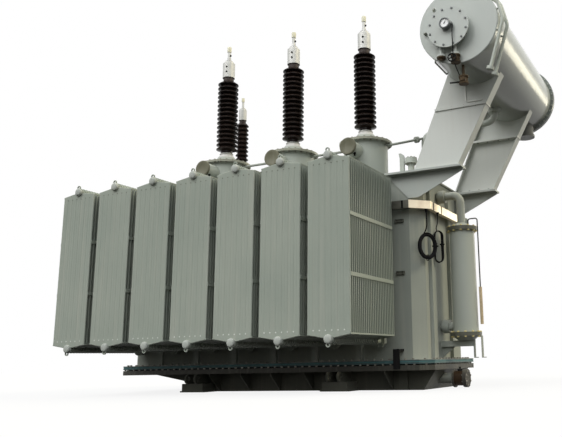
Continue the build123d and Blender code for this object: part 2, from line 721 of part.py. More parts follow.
with BuildPart() as lv_metal:
    with BuildSketch(Plane.XY.offset(COVER_TOP)):
        with Locations(*LV_POINTS):
            Circle(LV_FLANGE_RADIUS)
    extrude(amount=LV_FLANGE_THICK)
    with BuildSketch(Plane.XY.offset(LV_PORCELAIN_TOP)):
        with Locations(*LV_POINTS):
            Circle(LV_STUD_RADIUS)
    extrude(amount=LV_STUD_HEIGHT)
keep(lv_metal, "lv_metal")

# Conservator: a thin drum across the end of the tank, its front end welded on and its rear end bolted
CONS_X = HALF_L + CONS_OUT
CONS_Z = COVER_TOP + CONS_RISE
CONS_FRONT = HALF_W + CONS_FRONT_OUT
CONS_REAR = HALF_W + CONS_REAR_OUT
CONS_CENTRE = (CONS_X, CONS_Z)
MANHOLE_X = CONS_X - MANHOLE_LEFT
MANHOLE_Z = CONS_Z - MANHOLE_DROP
MANHOLE_FRONT = CONS_FRONT + MANHOLE_NECK_LENGTH
NOZZLE_POINTS = [
    (MANHOLE_X - NOZZLE_LEFT_OFFSET, -CONS_FRONT - MANHOLE_NECK_LENGTH / 2),
    (MANHOLE_X + NOZZLE_RIGHT_OFFSET, -CONS_FRONT - MANHOLE_NECK_LENGTH / 2),
]
NOZZLE_Z = MANHOLE_Z - NOZZLE_DROP
with BuildPart() as conservator_shell:
    with BuildSketch(Plane.XZ.offset(CONS_FRONT)):
        with Locations(CONS_CENTRE):
            Circle(CONS_RADIUS)
    extrude(amount=-CONS_FRONT - CONS_REAR)
    fillet(conservator_shell.edges().group_by(Axis.Y)[0], CONS_END_FILLET)
    with BuildSketch(Plane.XZ.offset(-CONS_REAR)):
        with Locations(CONS_CENTRE):
            Circle(CONS_RADIUS + CONS_FLANGE_LIP)
    extrude(amount=CONS_FLANGE_THICK)
    with BuildSketch(Plane.XZ.offset(CONS_FRONT - CONS_END_THICK)):
        with Locations(CONS_CENTRE):
            Circle(CONS_RADIUS - CONS_WALL)
    extrude(amount=CONS_END_THICK - CONS_FRONT - CONS_REAR, mode=Mode.SUBTRACT)
keep(conservator_shell, "conservator_shell")

# Manhole neck on the front end with its cover disc, and two flanged nozzles under the neck
with BuildPart() as manhole:
    with BuildSketch(Plane.XZ.offset(CONS_FRONT)):
        with Locations((MANHOLE_X, MANHOLE_Z)):
            Circle(MANHOLE_NECK_RADIUS)
    extrude(amount=MANHOLE_NECK_LENGTH)
    with BuildSketch(Plane.XZ.offset(MANHOLE_FRONT)):
        with Locations((MANHOLE_X, MANHOLE_Z)):
            Circle(MANHOLE_DISC_RADIUS)
    extrude(amount=MANHOLE_DISC_THICK)
    with BuildSketch(Plane.XY.offset(NOZZLE_Z)):
        with Locations(*NOZZLE_POINTS):
            Circle(NOZZLE_PIPE_RADIUS)
    extrude(amount=NOZZLE_DROP)
    with BuildSketch(Plane.XY.offset(NOZZLE_Z)):
        with Locations(*NOZZLE_POINTS):
            Circle(NOZZLE_FLANGE_RADIUS)
    extrude(amount=NOZZLE_FLANGE_THICK)
    add(conservator_shell.part, mode=Mode.SUBTRACT)
keep(manhole, "manhole")

with BuildPart() as conservator_rear:
    with BuildSketch(Plane.XZ.offset(-CONS_REAR)):
        with Locations(CONS_CENTRE):
            Circle(CONS_RADIUS + CONS_FLANGE_LIP)
    extrude(amount=-CONS_FLANGE_THICK)
keep(conservator_rear, "conservator_rear")

# Oil level gauge on the manhole disc
GAUGE_CENTRE = (MANHOLE_X - GAUGE_LEFT, MANHOLE_Z + GAUGE_RISE)
with BuildPart() as oil_gauge:
    with BuildSketch(Plane.XZ.offset(MANHOLE_FRONT + MANHOLE_DISC_THICK)):
        with Locations(GAUGE_CENTRE):
            Circle(GAUGE_RADIUS)
    extrude(amount=GAUGE_DEPTH)
keep(oil_gauge, "oil_gauge")

# Sump under the rear of the drum, and a rail along its lower side near the front
RAIL_REACH = CONS_RADIUS + RAIL_GAP
RAIL_X = CONS_X + RAIL_REACH * cos(radians(RAIL_ANGLE))
RAIL_Z = CONS_Z + RAIL_REACH * sin(radians(RAIL_ANGLE))
SUMP_POINT = (CONS_X + SUMP_RIGHT, CONS_REAR - SUMP_INSET)
SUMP_Z = CONS_Z - CONS_RADIUS - SUMP_DROP
with BuildPart() as conservator_fittings:
    with BuildSketch(Plane.XY.offset(SUMP_Z)):
        with Locations(SUMP_POINT):
            Circle(SUMP_RADIUS)
    extrude(amount=CONS_Z - SUMP_Z)
    with BuildSketch(Plane.XY.offset(SUMP_Z)):
        with Locations(SUMP_POINT):
            Circle(SUMP_RADIUS + SUMP_LIP)
    extrude(amount=SUMP_FLANGE_THICK)
    with BuildLine() as rail_path:
        FilletPolyline(
            (CONS_X, -CONS_FRONT + RAIL_GAP, CONS_Z),
            (RAIL_X, -CONS_FRONT + RAIL_GAP, RAIL_Z),
            (RAIL_X, -CONS_FRONT + RAIL_GAP + RAIL_LENGTH, RAIL_Z),
            (CONS_X, -CONS_FRONT + RAIL_GAP + RAIL_LENGTH, CONS_Z),
            radius=RAIL_GAP,
        )
    with BuildSketch(Plane(rail_path.line @ 0, z_dir=rail_path.line % 0)):
        Circle(RAIL_RADIUS)
    sweep()
    with BuildSketch(Plane.XZ.offset(CONS_FRONT)):
        with Locations(CONS_CENTRE):
            Circle(CONS_RADIUS)
    extrude(amount=-CONS_FRONT - CONS_REAR, mode=Mode.SUBTRACT)
keep(conservator_fittings, "conservator_fittings")

# Legs of the conservator: a leaning web with edge flanges, bolted plates at the foot and at mid height,
# and a top cut to the drum. They stand on the brackets in line with the walls of the tank.
LEG_Y = HALF_W + LEG_WEB / 2
LEG_LOW = TANK_TOP + LEG_PLATE_THICK
LEG_HIGH = CONS_Z - LEG_TOP_DROP
LEG_FOOT_LEFT = HALF_L - LEG_FOOT_INSET
LEG_FOOT_RIGHT = LEG_FOOT_LEFT + LEG_FOOT_LENGTH
LEG_TOP_LEFT = CONS_X - LEG_TOP_BACK
LEG_TOP_RIGHT = LEG_TOP_LEFT + LEG_TOP_LENGTH
LEG_JOINT_Z = TANK_TOP + LEG_JOINT_RISE
LEG_JOINT_SHARE = (LEG_JOINT_Z - LEG_LOW) / (LEG_HIGH - LEG_LOW)
LEG_JOINT_LEFT = LEG_FOOT_LEFT + LEG_JOINT_SHARE * (LEG_TOP_LEFT - LEG_FOOT_LEFT)
LEG_JOINT_RIGHT = LEG_FOOT_RIGHT + LEG_JOINT_SHARE * (LEG_TOP_RIGHT - LEG_FOOT_RIGHT)
LEG_PLATE_WIDTH = LEG_FLANGE_WIDTH + 2 * LEG_PLATE_LIP
with BuildPart() as conservator_legs:
    with BuildSketch(Plane.XZ.offset(LEG_Y - LEG_WEB / 2), Plane.XZ.offset(-LEG_Y - LEG_WEB / 2)):
        Polygon(
            (LEG_FOOT_LEFT, LEG_LOW),
            (LEG_FOOT_RIGHT, LEG_LOW),
            (LEG_TOP_RIGHT, LEG_HIGH),
            (LEG_TOP_LEFT, LEG_HIGH),
            align=None,
        )
    extrude(amount=LEG_WEB)
    with BuildSketch(
        Plane.XZ.offset(LEG_Y - LEG_FLANGE_WIDTH / 2), Plane.XZ.offset(-LEG_Y - LEG_FLANGE_WIDTH / 2)
    ):
        Polygon(
            (LEG_FOOT_LEFT, LEG_LOW),
            (LEG_FOOT_LEFT + LEG_FLANGE_THICK, LEG_LOW),
            (LEG_TOP_LEFT + LEG_FLANGE_THICK, LEG_HIGH),
            (LEG_TOP_LEFT, LEG_HIGH),
            align=None,
        )
        Polygon(
            (LEG_FOOT_RIGHT, LEG_LOW),
            (LEG_FOOT_RIGHT - LEG_FLANGE_THICK, LEG_LOW),
            (LEG_TOP_RIGHT - LEG_FLANGE_THICK, LEG_HIGH),
            (LEG_TOP_RIGHT, LEG_HIGH),
            align=None,
        )
    extrude(amount=LEG_FLANGE_WIDTH)
    for leg_y in (-LEG_Y, LEG_Y):
        with Locations(((LEG_FOOT_LEFT + LEG_FOOT_RIGHT) / 2, leg_y, LEG_LOW - LEG_PLATE_THICK / 2)):
            Box(LEG_FOOT_LENGTH, LEG_PLATE_WIDTH, LEG_PLATE_THICK)
        with Locations(((LEG_JOINT_LEFT + LEG_JOINT_RIGHT) / 2, leg_y, LEG_JOINT_Z)):
            Box(LEG_JOINT_RIGHT - LEG_JOINT_LEFT, LEG_PLATE_WIDTH, 2 * LEG_PLATE_THICK)
    with BuildSketch(Plane.XZ.offset(CONS_FRONT)):
        with Locations(CONS_CENTRE):
            Circle(CONS_RADIUS)
    extrude(amount=-CONS_FRONT - CONS_REAR, mode=Mode.SUBTRACT)
keep(conservator_legs, "conservator_legs")

# Brackets under the legs: a top plate and a raking web welded to the wall and the end of the tank
BRACKET_LEFT = HALF_L - BRACKET_BACK
BRACKET_TIP = HALF_L + BRACKET_REACH
with BuildPart() as leg_brackets:
    with Locations(((BRACKET_LEFT + BRACKET_TIP) / 2, 0, TANK_TOP - BRACKET_PLATE_THICK / 2)):
        with GridLocations(0, TANK_WIDTH, 1, 2):
            Box(BRACKET_TIP - BRACKET_LEFT, 2 * BRACKET_OUT, BRACKET_PLATE_THICK)
    with BuildSketch(Plane.XZ.offset(LEG_Y - LEG_WEB / 2), Plane.XZ.offset(-LEG_Y - LEG_WEB / 2)):
        Polygon(
            (BRACKET_LEFT, TANK_TOP - BRACKET_PLATE_THICK),
            (HALF_L - TANK_CHAMFER, TANK_TOP - BRACKET_DROP),
            (HALF_L, TANK_TOP - BRACKET_DROP),
            (BRACKET_TIP, TANK_TOP - 2 * BRACKET_PLATE_THICK),
            (BRACKET_TIP, TANK_TOP - BRACKET_PLATE_THICK),
            align=None,
        )
    extrude(amount=LEG_WEB)
    with BuildSketch(Plane.XY.offset(TANK_Z)):
        Polygon(*outline(0), align=None)
    extrude(amount=TANK_TOP - TANK_Z, mode=Mode.SUBTRACT)
keep(leg_brackets, "leg_brackets")

# Main oil pipe from the cover up and across to the underside of the drum, with the gas relay in its run
MAIN_FOOT_X = HALF_L - MAIN_PIPE_INSET
MAIN_RUN_Z = COVER_TOP + MAIN_PIPE_RISE
MAIN_END_X = CONS_X - MAIN_PIPE_BACK
MAIN_FLANGE_RADIUS = MAIN_PIPE_RADIUS + PIPE_FLANGE_LIP
RELAY_X = HALF_L + RELAY_OUT
RELAY_Z = MAIN_RUN_Z + MAIN_PIPE_SLOPE * (RELAY_X - MAIN_FOOT_X) / (MAIN_END_X - MAIN_FOOT_X)
DRUM_LOW_Z = CONS_Z - CONS_RADIUS
with BuildPart() as main_pipe:
    with BuildLine() as main_path:
        FilletPolyline(
            (MAIN_FOOT_X, MAIN_PIPE_Y, COVER_TOP),
            (MAIN_FOOT_X, MAIN_PIPE_Y, MAIN_RUN_Z),
            (MAIN_END_X, MAIN_PIPE_Y, MAIN_RUN_Z + MAIN_PIPE_SLOPE),
            (MAIN_END_X, MAIN_PIPE_Y, DRUM_LOW_Z + MAIN_PIPE_RADIUS),
            radius=MAIN_PIPE_BEND,
        )
    with BuildSketch(Plane(main_path.line @ 0, z_dir=main_path.line % 0)):
        Circle(MAIN_PIPE_RADIUS)
    sweep()
    with BuildSketch(Plane.XY.offset(COVER_TOP)):
        with Locations((MAIN_FOOT_X, MAIN_PIPE_Y)):
            Circle(MAIN_FLANGE_RADIUS)
    extrude(amount=PIPE_FLANGE_THICK)
    with BuildSketch(Plane.XY.offset(DRUM_LOW_Z - 2 * PIPE_FLANGE_THICK)):
        with Locations((MAIN_END_X, MAIN_PIPE_Y)):
            Circle(MAIN_FLANGE_RADIUS)
    extrude(amount=2 * PIPE_FLANGE_THICK)
    with Locations((RELAY_X, MAIN_PIPE_Y, RELAY_Z)):
        Box(RELAY_LENGTH, RELAY_WIDTH, RELAY_HEIGHT)
    with BuildSketch(Plane.XZ.offset(CONS_FRONT)):
        with Locations(CONS_CENTRE):
            Circle(CONS_RADIUS)
    extrude(amount=-CONS_FRONT - CONS_REAR, mode=Mode.SUBTRACT)
keep(main_pipe, "main_pipe")

# Gas pipe linking the heads of the turrets and rising to the bend of the main pipe, with a bolted joint
GAS_PIPE_Z = TURRET_TOP - GAS_PIPE_DROP
GAS_STUB_X = HV_LAST_X + TURRET_FOOT_RADIUS + GAS_PIPE_STUB
GAS_END = Vector(MAIN_FOOT_X, MAIN_PIPE_Y, MAIN_RUN_Z - MAIN_PIPE_RADIUS)
GAS_RISE = (GAS_END - Vector(GAS_STUB_X, HV_Y, GAS_PIPE_Z)).normalized()
GAS_JOINT = GAS_END - GAS_RISE * (MAIN_FLANGE_RADIUS + 2 * GAS_JOINT_THICK)
with BuildPart() as gas_pipe:
    with BuildSketch(*[Plane.YZ.offset(bushing_x) for bushing_x in HV_XS[:-1]]):
        with Locations((HV_Y, GAS_PIPE_Z)):
            Circle(GAS_PIPE_RADIUS)
    extrude(amount=HV_PITCH)
    with BuildLine() as gas_path:
        FilletPolyline(
            (HV_LAST_X, HV_Y, GAS_PIPE_Z),
            (GAS_STUB_X, HV_Y, GAS_PIPE_Z),
            GAS_END,
            radius=GAS_PIPE_BEND,
        )
    with BuildSketch(Plane(gas_path.line @ 0, z_dir=gas_path.line % 0)):
        Circle(GAS_PIPE_RADIUS)
    sweep()
    with BuildSketch(Plane(GAS_JOINT, z_dir=GAS_RISE)):
        Circle(GAS_JOINT_RADIUS)
    extrude(amount=GAS_JOINT_THICK)
    add(turrets.part, mode=Mode.SUBTRACT)
    add(main_pipe.part, mode=Mode.SUBTRACT)
keep(gas_pipe, "gas_pipe")

# Vent pipes bent in straights round the outer side of the drum, flanged at their lower ends
VENT_REACH = CONS_RADIUS + VENT_PIPE_GAP + VENT_PIPE_RADIUS
VENT_CORNER = VENT_REACH / cos(radians(VENT_BEND_ANGLE / 2))
VENT_YS = [VENT_INSET - CONS_FRONT, VENT_INSET + VENT_PITCH - CONS_FRONT]
VENT_LAST_ANGLE = VENT_FIRST_ANGLE + VENT_BENDS * VENT_BEND_ANGLE


# Point beside the drum at an angle from level, for pipes that follow its curve
def round_drum(reach, angle):
    return (reach * cos(radians(angle)), reach * sin(radians(angle)))


VENT_TANGENT = round_drum(VENT_REACH, VENT_FIRST_ANGLE)
VENT_TAIL = round_drum(VENT_TAIL_LENGTH, VENT_FIRST_ANGLE - 90)
VENT_CORNERS = [
    round_drum(VENT_CORNER, VENT_FIRST_ANGLE + (bend + 0.5) * VENT_BEND_ANGLE) for bend in range(VENT_BENDS)
]
with BuildPart() as vent_pipes:
    for vent_y in VENT_YS:
        vent_plane = Plane((CONS_X, vent_y, CONS_Z), x_dir=(1, 0, 0), z_dir=(0, -1, 0))
        with BuildLine(vent_plane) as vent_path:
            FilletPolyline(
                (VENT_TANGENT[0] + VENT_TAIL[0], VENT_TANGENT[1] + VENT_TAIL[1]),
                *VENT_CORNERS,
                round_drum(VENT_REACH, VENT_LAST_ANGLE),
                radius=VENT_BEND_RADIUS,
            )
        with BuildSketch(Plane(vent_path.line @ 0, z_dir=vent_path.line % 0)):
            Circle(VENT_PIPE_RADIUS)
        sweep()
        with BuildSketch(Plane(vent_path.line @ 0, z_dir=vent_path.line % 0)):
            Circle(VENT_FLANGE_RADIUS)
        extrude(amount=VENT_FLANGE_THICK)
        for tie_angle in (VENT_FIRST_ANGLE, VENT_FIRST_ANGLE + VENT_BEND_ANGLE, VENT_LAST_ANGLE):
            tie_x, tie_z = round_drum(VENT_REACH, tie_angle)
            with BuildSketch(Plane((CONS_X + tie_x, vent_y, CONS_Z + tie_z), z_dir=(-tie_x, 0, -tie_z))):
                Circle(VENT_TIE_RADIUS)
            extrude(amount=VENT_PIPE_RADIUS + 2 * VENT_PIPE_GAP)
    with BuildSketch(Plane.XZ.offset(CONS_FRONT)):
        with Locations(CONS_CENTRE):
            Circle(CONS_RADIUS)
    extrude(amount=-CONS_FRONT - CONS_REAR, mode=Mode.SUBTRACT)
keep(vent_pipes, "vent_pipes")

# Oil filter: upright flanged canister with a conical top, on a turned foot
FILTER_FLANGE_RADIUS = FILTER_RADIUS + FILTER_FLANGE_LIP
FILTER_X = HALF_L + FILTER_GAP + FILTER_FLANGE_RADIUS
FILTER_Y = END_RIB_YS[0] + FILTER_FROM_RIB
FILTER_BOTTOM = TANK_Z + FILTER_RISE
FILTER_ELBOW_Z = TANK_TOP - FILTER_ELBOW_DROP
FILTER_TOP = FILTER_ELBOW_Z - FILTER_TOP_DROP
FILTER_LOW_Z = FILTER_BOTTOM + FILTER_LOW_RISE
with BuildPart() as oil_filter:
    with BuildSketch(axis_plane(FILTER_X, FILTER_Y)):
        Polygon(
            (0, FILTER_BOTTOM - FILTER_FOOT_HEIGHT),
            (FILTER_FOOT_RADIUS, FILTER_BOTTOM - FILTER_FOOT_HEIGHT),
            (FILTER_RADIUS, FILTER_BOTTOM),
            (FILTER_FLANGE_RADIUS, FILTER_BOTTOM),
            (FILTER_FLANGE_RADIUS, FILTER_BOTTOM + 2 * FILTER_FLANGE_THICK),
            (FILTER_RADIUS, FILTER_BOTTOM + 2 * FILTER_FLANGE_THICK),
            (FILTER_RADIUS, FILTER_TOP - 2 * FILTER_FLANGE_THICK),
            (FILTER_FLANGE_RADIUS, FILTER_TOP - 2 * FILTER_FLANGE_THICK),
            (FILTER_FLANGE_RADIUS, FILTER_TOP),
            (FILTER_RADIUS, FILTER_TOP),
            (FILTER_PIPE_RADIUS, FILTER_TOP + FILTER_DOME_HEIGHT),
            (0, FILTER_TOP + FILTER_DOME_HEIGHT),
            align=None,
        )
    revolve(axis=upright_axis(FILTER_X, FILTER_Y))
keep(oil_filter, "oil_filter")

# Filter pipes to the tank: an elbow at the top and a straight run at the bottom, each with a valve
with BuildPart() as filter_pipes:
    with BuildLine() as filter_path:
        FilletPolyline(
            (FILTER_X, FILTER_Y, FILTER_TOP + FILTER_DOME_HEIGHT),
            (FILTER_X, FILTER_Y, FILTER_ELBOW_Z),
            (HALF_L, FILTER_Y, FILTER_ELBOW_Z),
            radius=FILTER_PIPE_BEND,
        )
    with BuildSketch(Plane(filter_path.line @ 0, z_dir=filter_path.line % 0)):
        Circle(FILTER_PIPE_RADIUS)
    sweep()
    with BuildSketch(Plane.YZ.offset(HALF_L + FILTER_VALVE_GAP)):
        with Locations((FILTER_Y, FILTER_ELBOW_Z), (FILTER_Y, FILTER_LOW_Z)):
            Circle(FILTER_VALVE_RADIUS)
    extrude(amount=FILTER_VALVE_LENGTH)
    with BuildSketch(Plane.YZ.offset(HALF_L)):
        with Locations((FILTER_Y, FILTER_LOW_Z)):
            Circle(FILTER_PIPE_RADIUS)
    extrude(amount=FILTER_X - HALF_L)
    add(oil_filter.part, mode=Mode.SUBTRACT)
keep(filter_pipes, "filter_pipes")

# Support arm under the filter with a gusset on the end wall, and a hanger under the outer flange
ARM_LENGTH = FILTER_X + FILTER_FOOT_RADIUS - HALF_L
ARM_TOP = FILTER_BOTTOM - FILTER_FOOT_HEIGHT
HANGER_X = FILTER_X + FILTER_FLANGE_RADIUS - HANGER_WIDTH / 2 + HANGER_THICK
with BuildPart() as filter_arm:
    with Locations((HALF_L + ARM_LENGTH / 2, FILTER_Y, ARM_TOP - ARM_HEIGHT / 2)):
        Box(ARM_LENGTH, ARM_WIDTH, ARM_HEIGHT)
    with BuildSketch(Plane.XZ.offset(-FILTER_Y - ARM_GUSSET_THICK / 2)):
        Polygon(
            (HALF_L, ARM_TOP - ARM_HEIGHT),
            (HALF_L + ARM_GUSSET_LENGTH, ARM_TOP - ARM_HEIGHT),
            (HALF_L, RIB_FOOT + ARM_GUSSET_GAP),
            align=None,
        )
    extrude(amount=ARM_GUSSET_THICK)
    with BuildSketch(Plane.XZ.offset(-FILTER_Y - HANGER_DEPTH / 2)):
        with Locations((HANGER_X, FILTER_BOTTOM - HANGER_THICK / 2)):
            Rectangle(HANGER_WIDTH, HANGER_THICK)
        for hanger_side in (-1, 1):
            hanger_x = HANGER_X + hanger_side * (HANGER_WIDTH - HANGER_THICK) / 2
            with Locations((hanger_x, FILTER_BOTTOM - HANGER_HEIGHT / 2)):
                Rectangle(HANGER_THICK, HANGER_HEIGHT)
            with Locations((hanger_x + HANGER_FOOT / 2, FILTER_BOTTOM - HANGER_HEIGHT)):
                Rectangle(HANGER_FOOT + HANGER_THICK, HANGER_THICK)
    extrude(amount=HANGER_DEPTH)
    add(oil_filter.part, mode=Mode.SUBTRACT)
keep(filter_arm, "filter_arm")

# Sight tube looping from the cone of the filter down its outer side, with a sleeve at the lower end
SIGHT_X = FILTER_X + FILTER_FLANGE_RADIUS + 2 * SIGHT_PIPE_RADIUS
SIGHT_BOTTOM = FILTER_BOTTOM + SIGHT_SLEEVE_RISE
SIGHT_TOP = FILTER_TOP + FILTER_DOME_HEIGHT + SIGHT_PIPE_RISE
with BuildPart() as filter_sight_tube:
    with BuildLine() as sight_path:
        FilletPolyline(
            (FILTER_X + FILTER_RADIUS - SIGHT_PIPE_IN, FILTER_Y, FILTER_TOP),
            (FILTER_X + FILTER_RADIUS - SIGHT_PIPE_IN, FILTER_Y, SIGHT_TOP),
            (SIGHT_X, FILTER_Y, SIGHT_TOP),
            (SIGHT_X, FILTER_Y, SIGHT_BOTTOM),
            radius=SIGHT_PIPE_BEND,
        )
    with BuildSketch(Plane(sight_path.line @ 0, z_dir=sight_path.line % 0)):
        Circle(SIGHT_PIPE_RADIUS)
    sweep()
    with BuildSketch(Plane.XY.offset(SIGHT_BOTTOM)):
        with Locations((SIGHT_X, FILTER_Y)):
            Circle(SIGHT_SLEEVE_RADIUS)
    extrude(amount=SIGHT_SLEEVE_LENGTH)
    add(oil_filter.part, mode=Mode.SUBTRACT)
keep(filter_sight_tube, "filter_sight_tube")

# Drain valve on the raked end of the pan: pipe, flanged body and blind flange, turned about their axis
DRAIN_FLANGE_X = PAN_TOP_RIGHT + DRAIN_PIPE_OUT
DRAIN_BODY_X = DRAIN_FLANGE_X + DRAIN_FLANGE_THICK
DRAIN_BLIND_X = DRAIN_BODY_X + DRAIN_BODY_LENGTH
DRAIN_END_X = DRAIN_BLIND_X + DRAIN_BLIND_THICK
with BuildPart() as drain_valve:
    with BuildSketch(Plane((0, DRAIN_Y, DRAIN_RISE), x_dir=(1, 0, 0), z_dir=(0, -1, 0))):
        Polygon(
            (PAN_BOTTOM_RIGHT, 0),
            (PAN_BOTTOM_RIGHT, DRAIN_PIPE_RADIUS),
            (DRAIN_FLANGE_X, DRAIN_PIPE_RADIUS),
            (DRAIN_FLANGE_X, DRAIN_FLANGE_RADIUS),
            (DRAIN_BODY_X, DRAIN_FLANGE_RADIUS),
            (DRAIN_BODY_X, DRAIN_BODY_RADIUS),
            (DRAIN_BLIND_X, DRAIN_BODY_RADIUS),
            (DRAIN_BLIND_X, DRAIN_FLANGE_RADIUS),
            (DRAIN_END_X, DRAIN_FLANGE_RADIUS),
            (DRAIN_END_X, 0),
            align=None,
        )
    revolve(axis=Axis((0, DRAIN_Y, DRAIN_RISE), (1, 0, 0)))
    add(base_pan.part, mode=Mode.SUBTRACT)
keep(drain_valve, "drain_valve")

# Cable trunking round the front and the end of the tank, clear of the stiffeners on small brackets
TRAY_BOTTOM = HEADER_HIGH_Z - TRAY_DROP
TRAY_IN = RIB_DEPTH + TRAY_CLEARANCE
TRAY_OUT = TRAY_IN + TRAY_DEPTH
TRAY_START_X = TRAY_LEFT_INSET - HALF_L
TRAY_END_Y = HALF_W - TRAY_REAR_INSET
TRAY_TURN = tan(radians(22.5))
TRAY_CORNER_X = HALF_L - TANK_CHAMFER
TRAY_CORNER_Y = TANK_CHAMFER - HALF_W
TRAY_BRACKET_XS = [RAD_FIRST_X + number * RAD_PITCH for number in range(1, RAD_COUNT, 2)]
TRAY_BRACKET_XS += [HALF_L - TRAY_CORNER_INSET]
TRAY_BRACKET_YS = [TRAY_END_FRONT - HALF_W, HALF_W - TRAY_END_REAR]
TRAY_BRACKET_Z = TRAY_BOTTOM + TRAY_HEIGHT / 2
with BuildPart() as cable_tray:
    with BuildSketch(Plane.XY.offset(TRAY_BOTTOM)):
        Polygon(
            (TRAY_START_X, -HALF_W - TRAY_OUT),
            (TRAY_CORNER_X + TRAY_TURN * TRAY_OUT, -HALF_W - TRAY_OUT),
            (HALF_L + TRAY_OUT, TRAY_CORNER_Y - TRAY_TURN * TRAY_OUT),
            (HALF_L + TRAY_OUT, TRAY_END_Y),
            (HALF_L + TRAY_IN, TRAY_END_Y),
            (HALF_L + TRAY_IN, TRAY_CORNER_Y - TRAY_TURN * TRAY_IN),
            (TRAY_CORNER_X + TRAY_TURN * TRAY_IN, -HALF_W - TRAY_IN),
            (TRAY_START_X, -HALF_W - TRAY_IN),
            align=None,
        )
    extrude(amount=TRAY_HEIGHT)
    with Locations(*[(bracket_x, -HALF_W - TRAY_IN / 2, TRAY_BRACKET_Z) for bracket_x in TRAY_BRACKET_XS]):
        Box(TRAY_BRACKET_WIDTH, TRAY_IN, TRAY_BRACKET_HEIGHT)
    with Locations(*[(HALF_L + TRAY_IN / 2, bracket_y, TRAY_BRACKET_Z) for bracket_y in TRAY_BRACKET_YS]):
        Box(TRAY_IN, TRAY_BRACKET_WIDTH, TRAY_BRACKET_HEIGHT)
keep(cable_tray, "cable_tray")

# Relief nozzle with its bolted flanges, and a lifting hook, on the cover beside the last turret
RELIEF_X = HALF_L - RELIEF_END_INSET
RELIEF_Y = RELIEF_SIDE_INSET - HALF_W
RELIEF_FLANGE_Z = COVER_TOP + RELIEF_NECK_HEIGHT
HOOK_X = RELIEF_X - HOOK_LEFT
HOOK_BACK_X = HOOK_X + HOOK_WIDTH / 2
HOOK_TOP = COVER_TOP + HOOK_HEIGHT
with BuildPart() as cover_fittings:
    with BuildSketch(axis_plane(RELIEF_X, RELIEF_Y)):
        Polygon(
            (0, COVER_TOP),
            (RELIEF_NECK_RADIUS, COVER_TOP),
            (RELIEF_NECK_RADIUS, RELIEF_FLANGE_Z),
            (RELIEF_FLANGE_RADIUS, RELIEF_FLANGE_Z),
            (RELIEF_FLANGE_RADIUS, RELIEF_FLANGE_Z + RELIEF_FLANGE_THICK),
            (RELIEF_COVER_RADIUS, RELIEF_FLANGE_Z + RELIEF_FLANGE_THICK),
            (RELIEF_COVER_RADIUS, RELIEF_FLANGE_Z + RELIEF_FLANGE_THICK + RELIEF_COVER_THICK),
            (0, RELIEF_FLANGE_Z + RELIEF_FLANGE_THICK + RELIEF_COVER_THICK),
            align=None,
        )
    revolve(axis=upright_axis(RELIEF_X, RELIEF_Y))
    with BuildSketch(Plane.XZ.offset(-RELIEF_Y - HOOK_THICK / 2)):
        with BuildLine():
            hook_back = Line((HOOK_BACK_X, COVER_TOP), (HOOK_BACK_X, HOOK_TOP - HOOK_WIDTH))
            hook_crown = TangentArc(hook_back @ 1, (HOOK_X - HOOK_HORN, HOOK_TOP), tangent=hook_back % 1)
            hook_throat = Line(hook_crown @ 1, (HOOK_X - HOOK_WIDTH / 2, HOOK_TOP - HOOK_WIDTH))
            hook_front = Line(hook_throat @ 1, (HOOK_X - HOOK_WIDTH / 2, COVER_TOP))
            Line(hook_front @ 1, hook_back @ 0)
        make_face()
    extrude(amount=HOOK_THICK)
keep(cover_fittings, "cover_fittings")

# Clamp over the edge of the bolted flange near the corner: an upright and an arm back to the wall
CLAMP_X = HALF_L - CLAMP_INSET
CLAMP_TOP = TANK_Z + CLAMP_RISE
CLAMP_BOTTOM = TANK_Z - CLAMP_DROP
CLAMP_FACE = HALF_W + FLANGE_OUT + CLAMP_THICK
with BuildPart() as flange_clamp:
    with BuildSketch(Plane.YZ.offset(CLAMP_X - CLAMP_WIDTH / 2)):
        Polygon(
            (-CLAMP_FACE, CLAMP_BOTTOM),
            (CLAMP_THICK - CLAMP_FACE, CLAMP_BOTTOM),
            (CLAMP_THICK - CLAMP_FACE, CLAMP_TOP - CLAMP_THICK),
            (-HALF_W, CLAMP_TOP - CLAMP_THICK),
            (-HALF_W, CLAMP_TOP),
            (-CLAMP_FACE, CLAMP_TOP),
            align=None,
        )
    extrude(amount=CLAMP_WIDTH)
keep(flange_clamp, "flange_clamp")

# Bronze valves: one under the right nozzle of the manhole, one hanging from the drum behind it
COCK_X = CONS_X + DRAIN_COCK_RIGHT
COCK_Y = DRAIN_COCK_INSET - CONS_FRONT
COCK_TOP = DRUM_LOW_Z - DRAIN_COCK_DROP
with BuildPart() as conservator_valves:
    with BuildSketch(Plane.XY.offset(NOZZLE_Z - SMALL_VALVE_LENGTH)):
        with Locations(NOZZLE_POINTS[1]):
            RegularPolygon(SMALL_VALVE_RADIUS, 6)
    extrude(amount=SMALL_VALVE_LENGTH)
    with BuildSketch(Plane.XY.offset(COCK_TOP - SMALL_VALVE_LENGTH)):
        with Locations((COCK_X, COCK_Y)):
            RegularPolygon(SMALL_VALVE_RADIUS, 6)
    extrude(amount=SMALL_VALVE_LENGTH)
    with BuildSketch(Plane.XY.offset(COCK_TOP)):
        with Locations((COCK_X, COCK_Y)):
            Circle(SMALL_PIPE_RADIUS)
    extrude(amount=CONS_Z - COCK_TOP)
    with BuildSketch(Plane.XZ.offset(CONS_FRONT)):
        with Locations(CONS_CENTRE):
            Circle(CONS_RADIUS)
    extrude(amount=-CONS_FRONT - CONS_REAR, mode=Mode.SUBTRACT)
keep(conservator_valves, "conservator_valves")

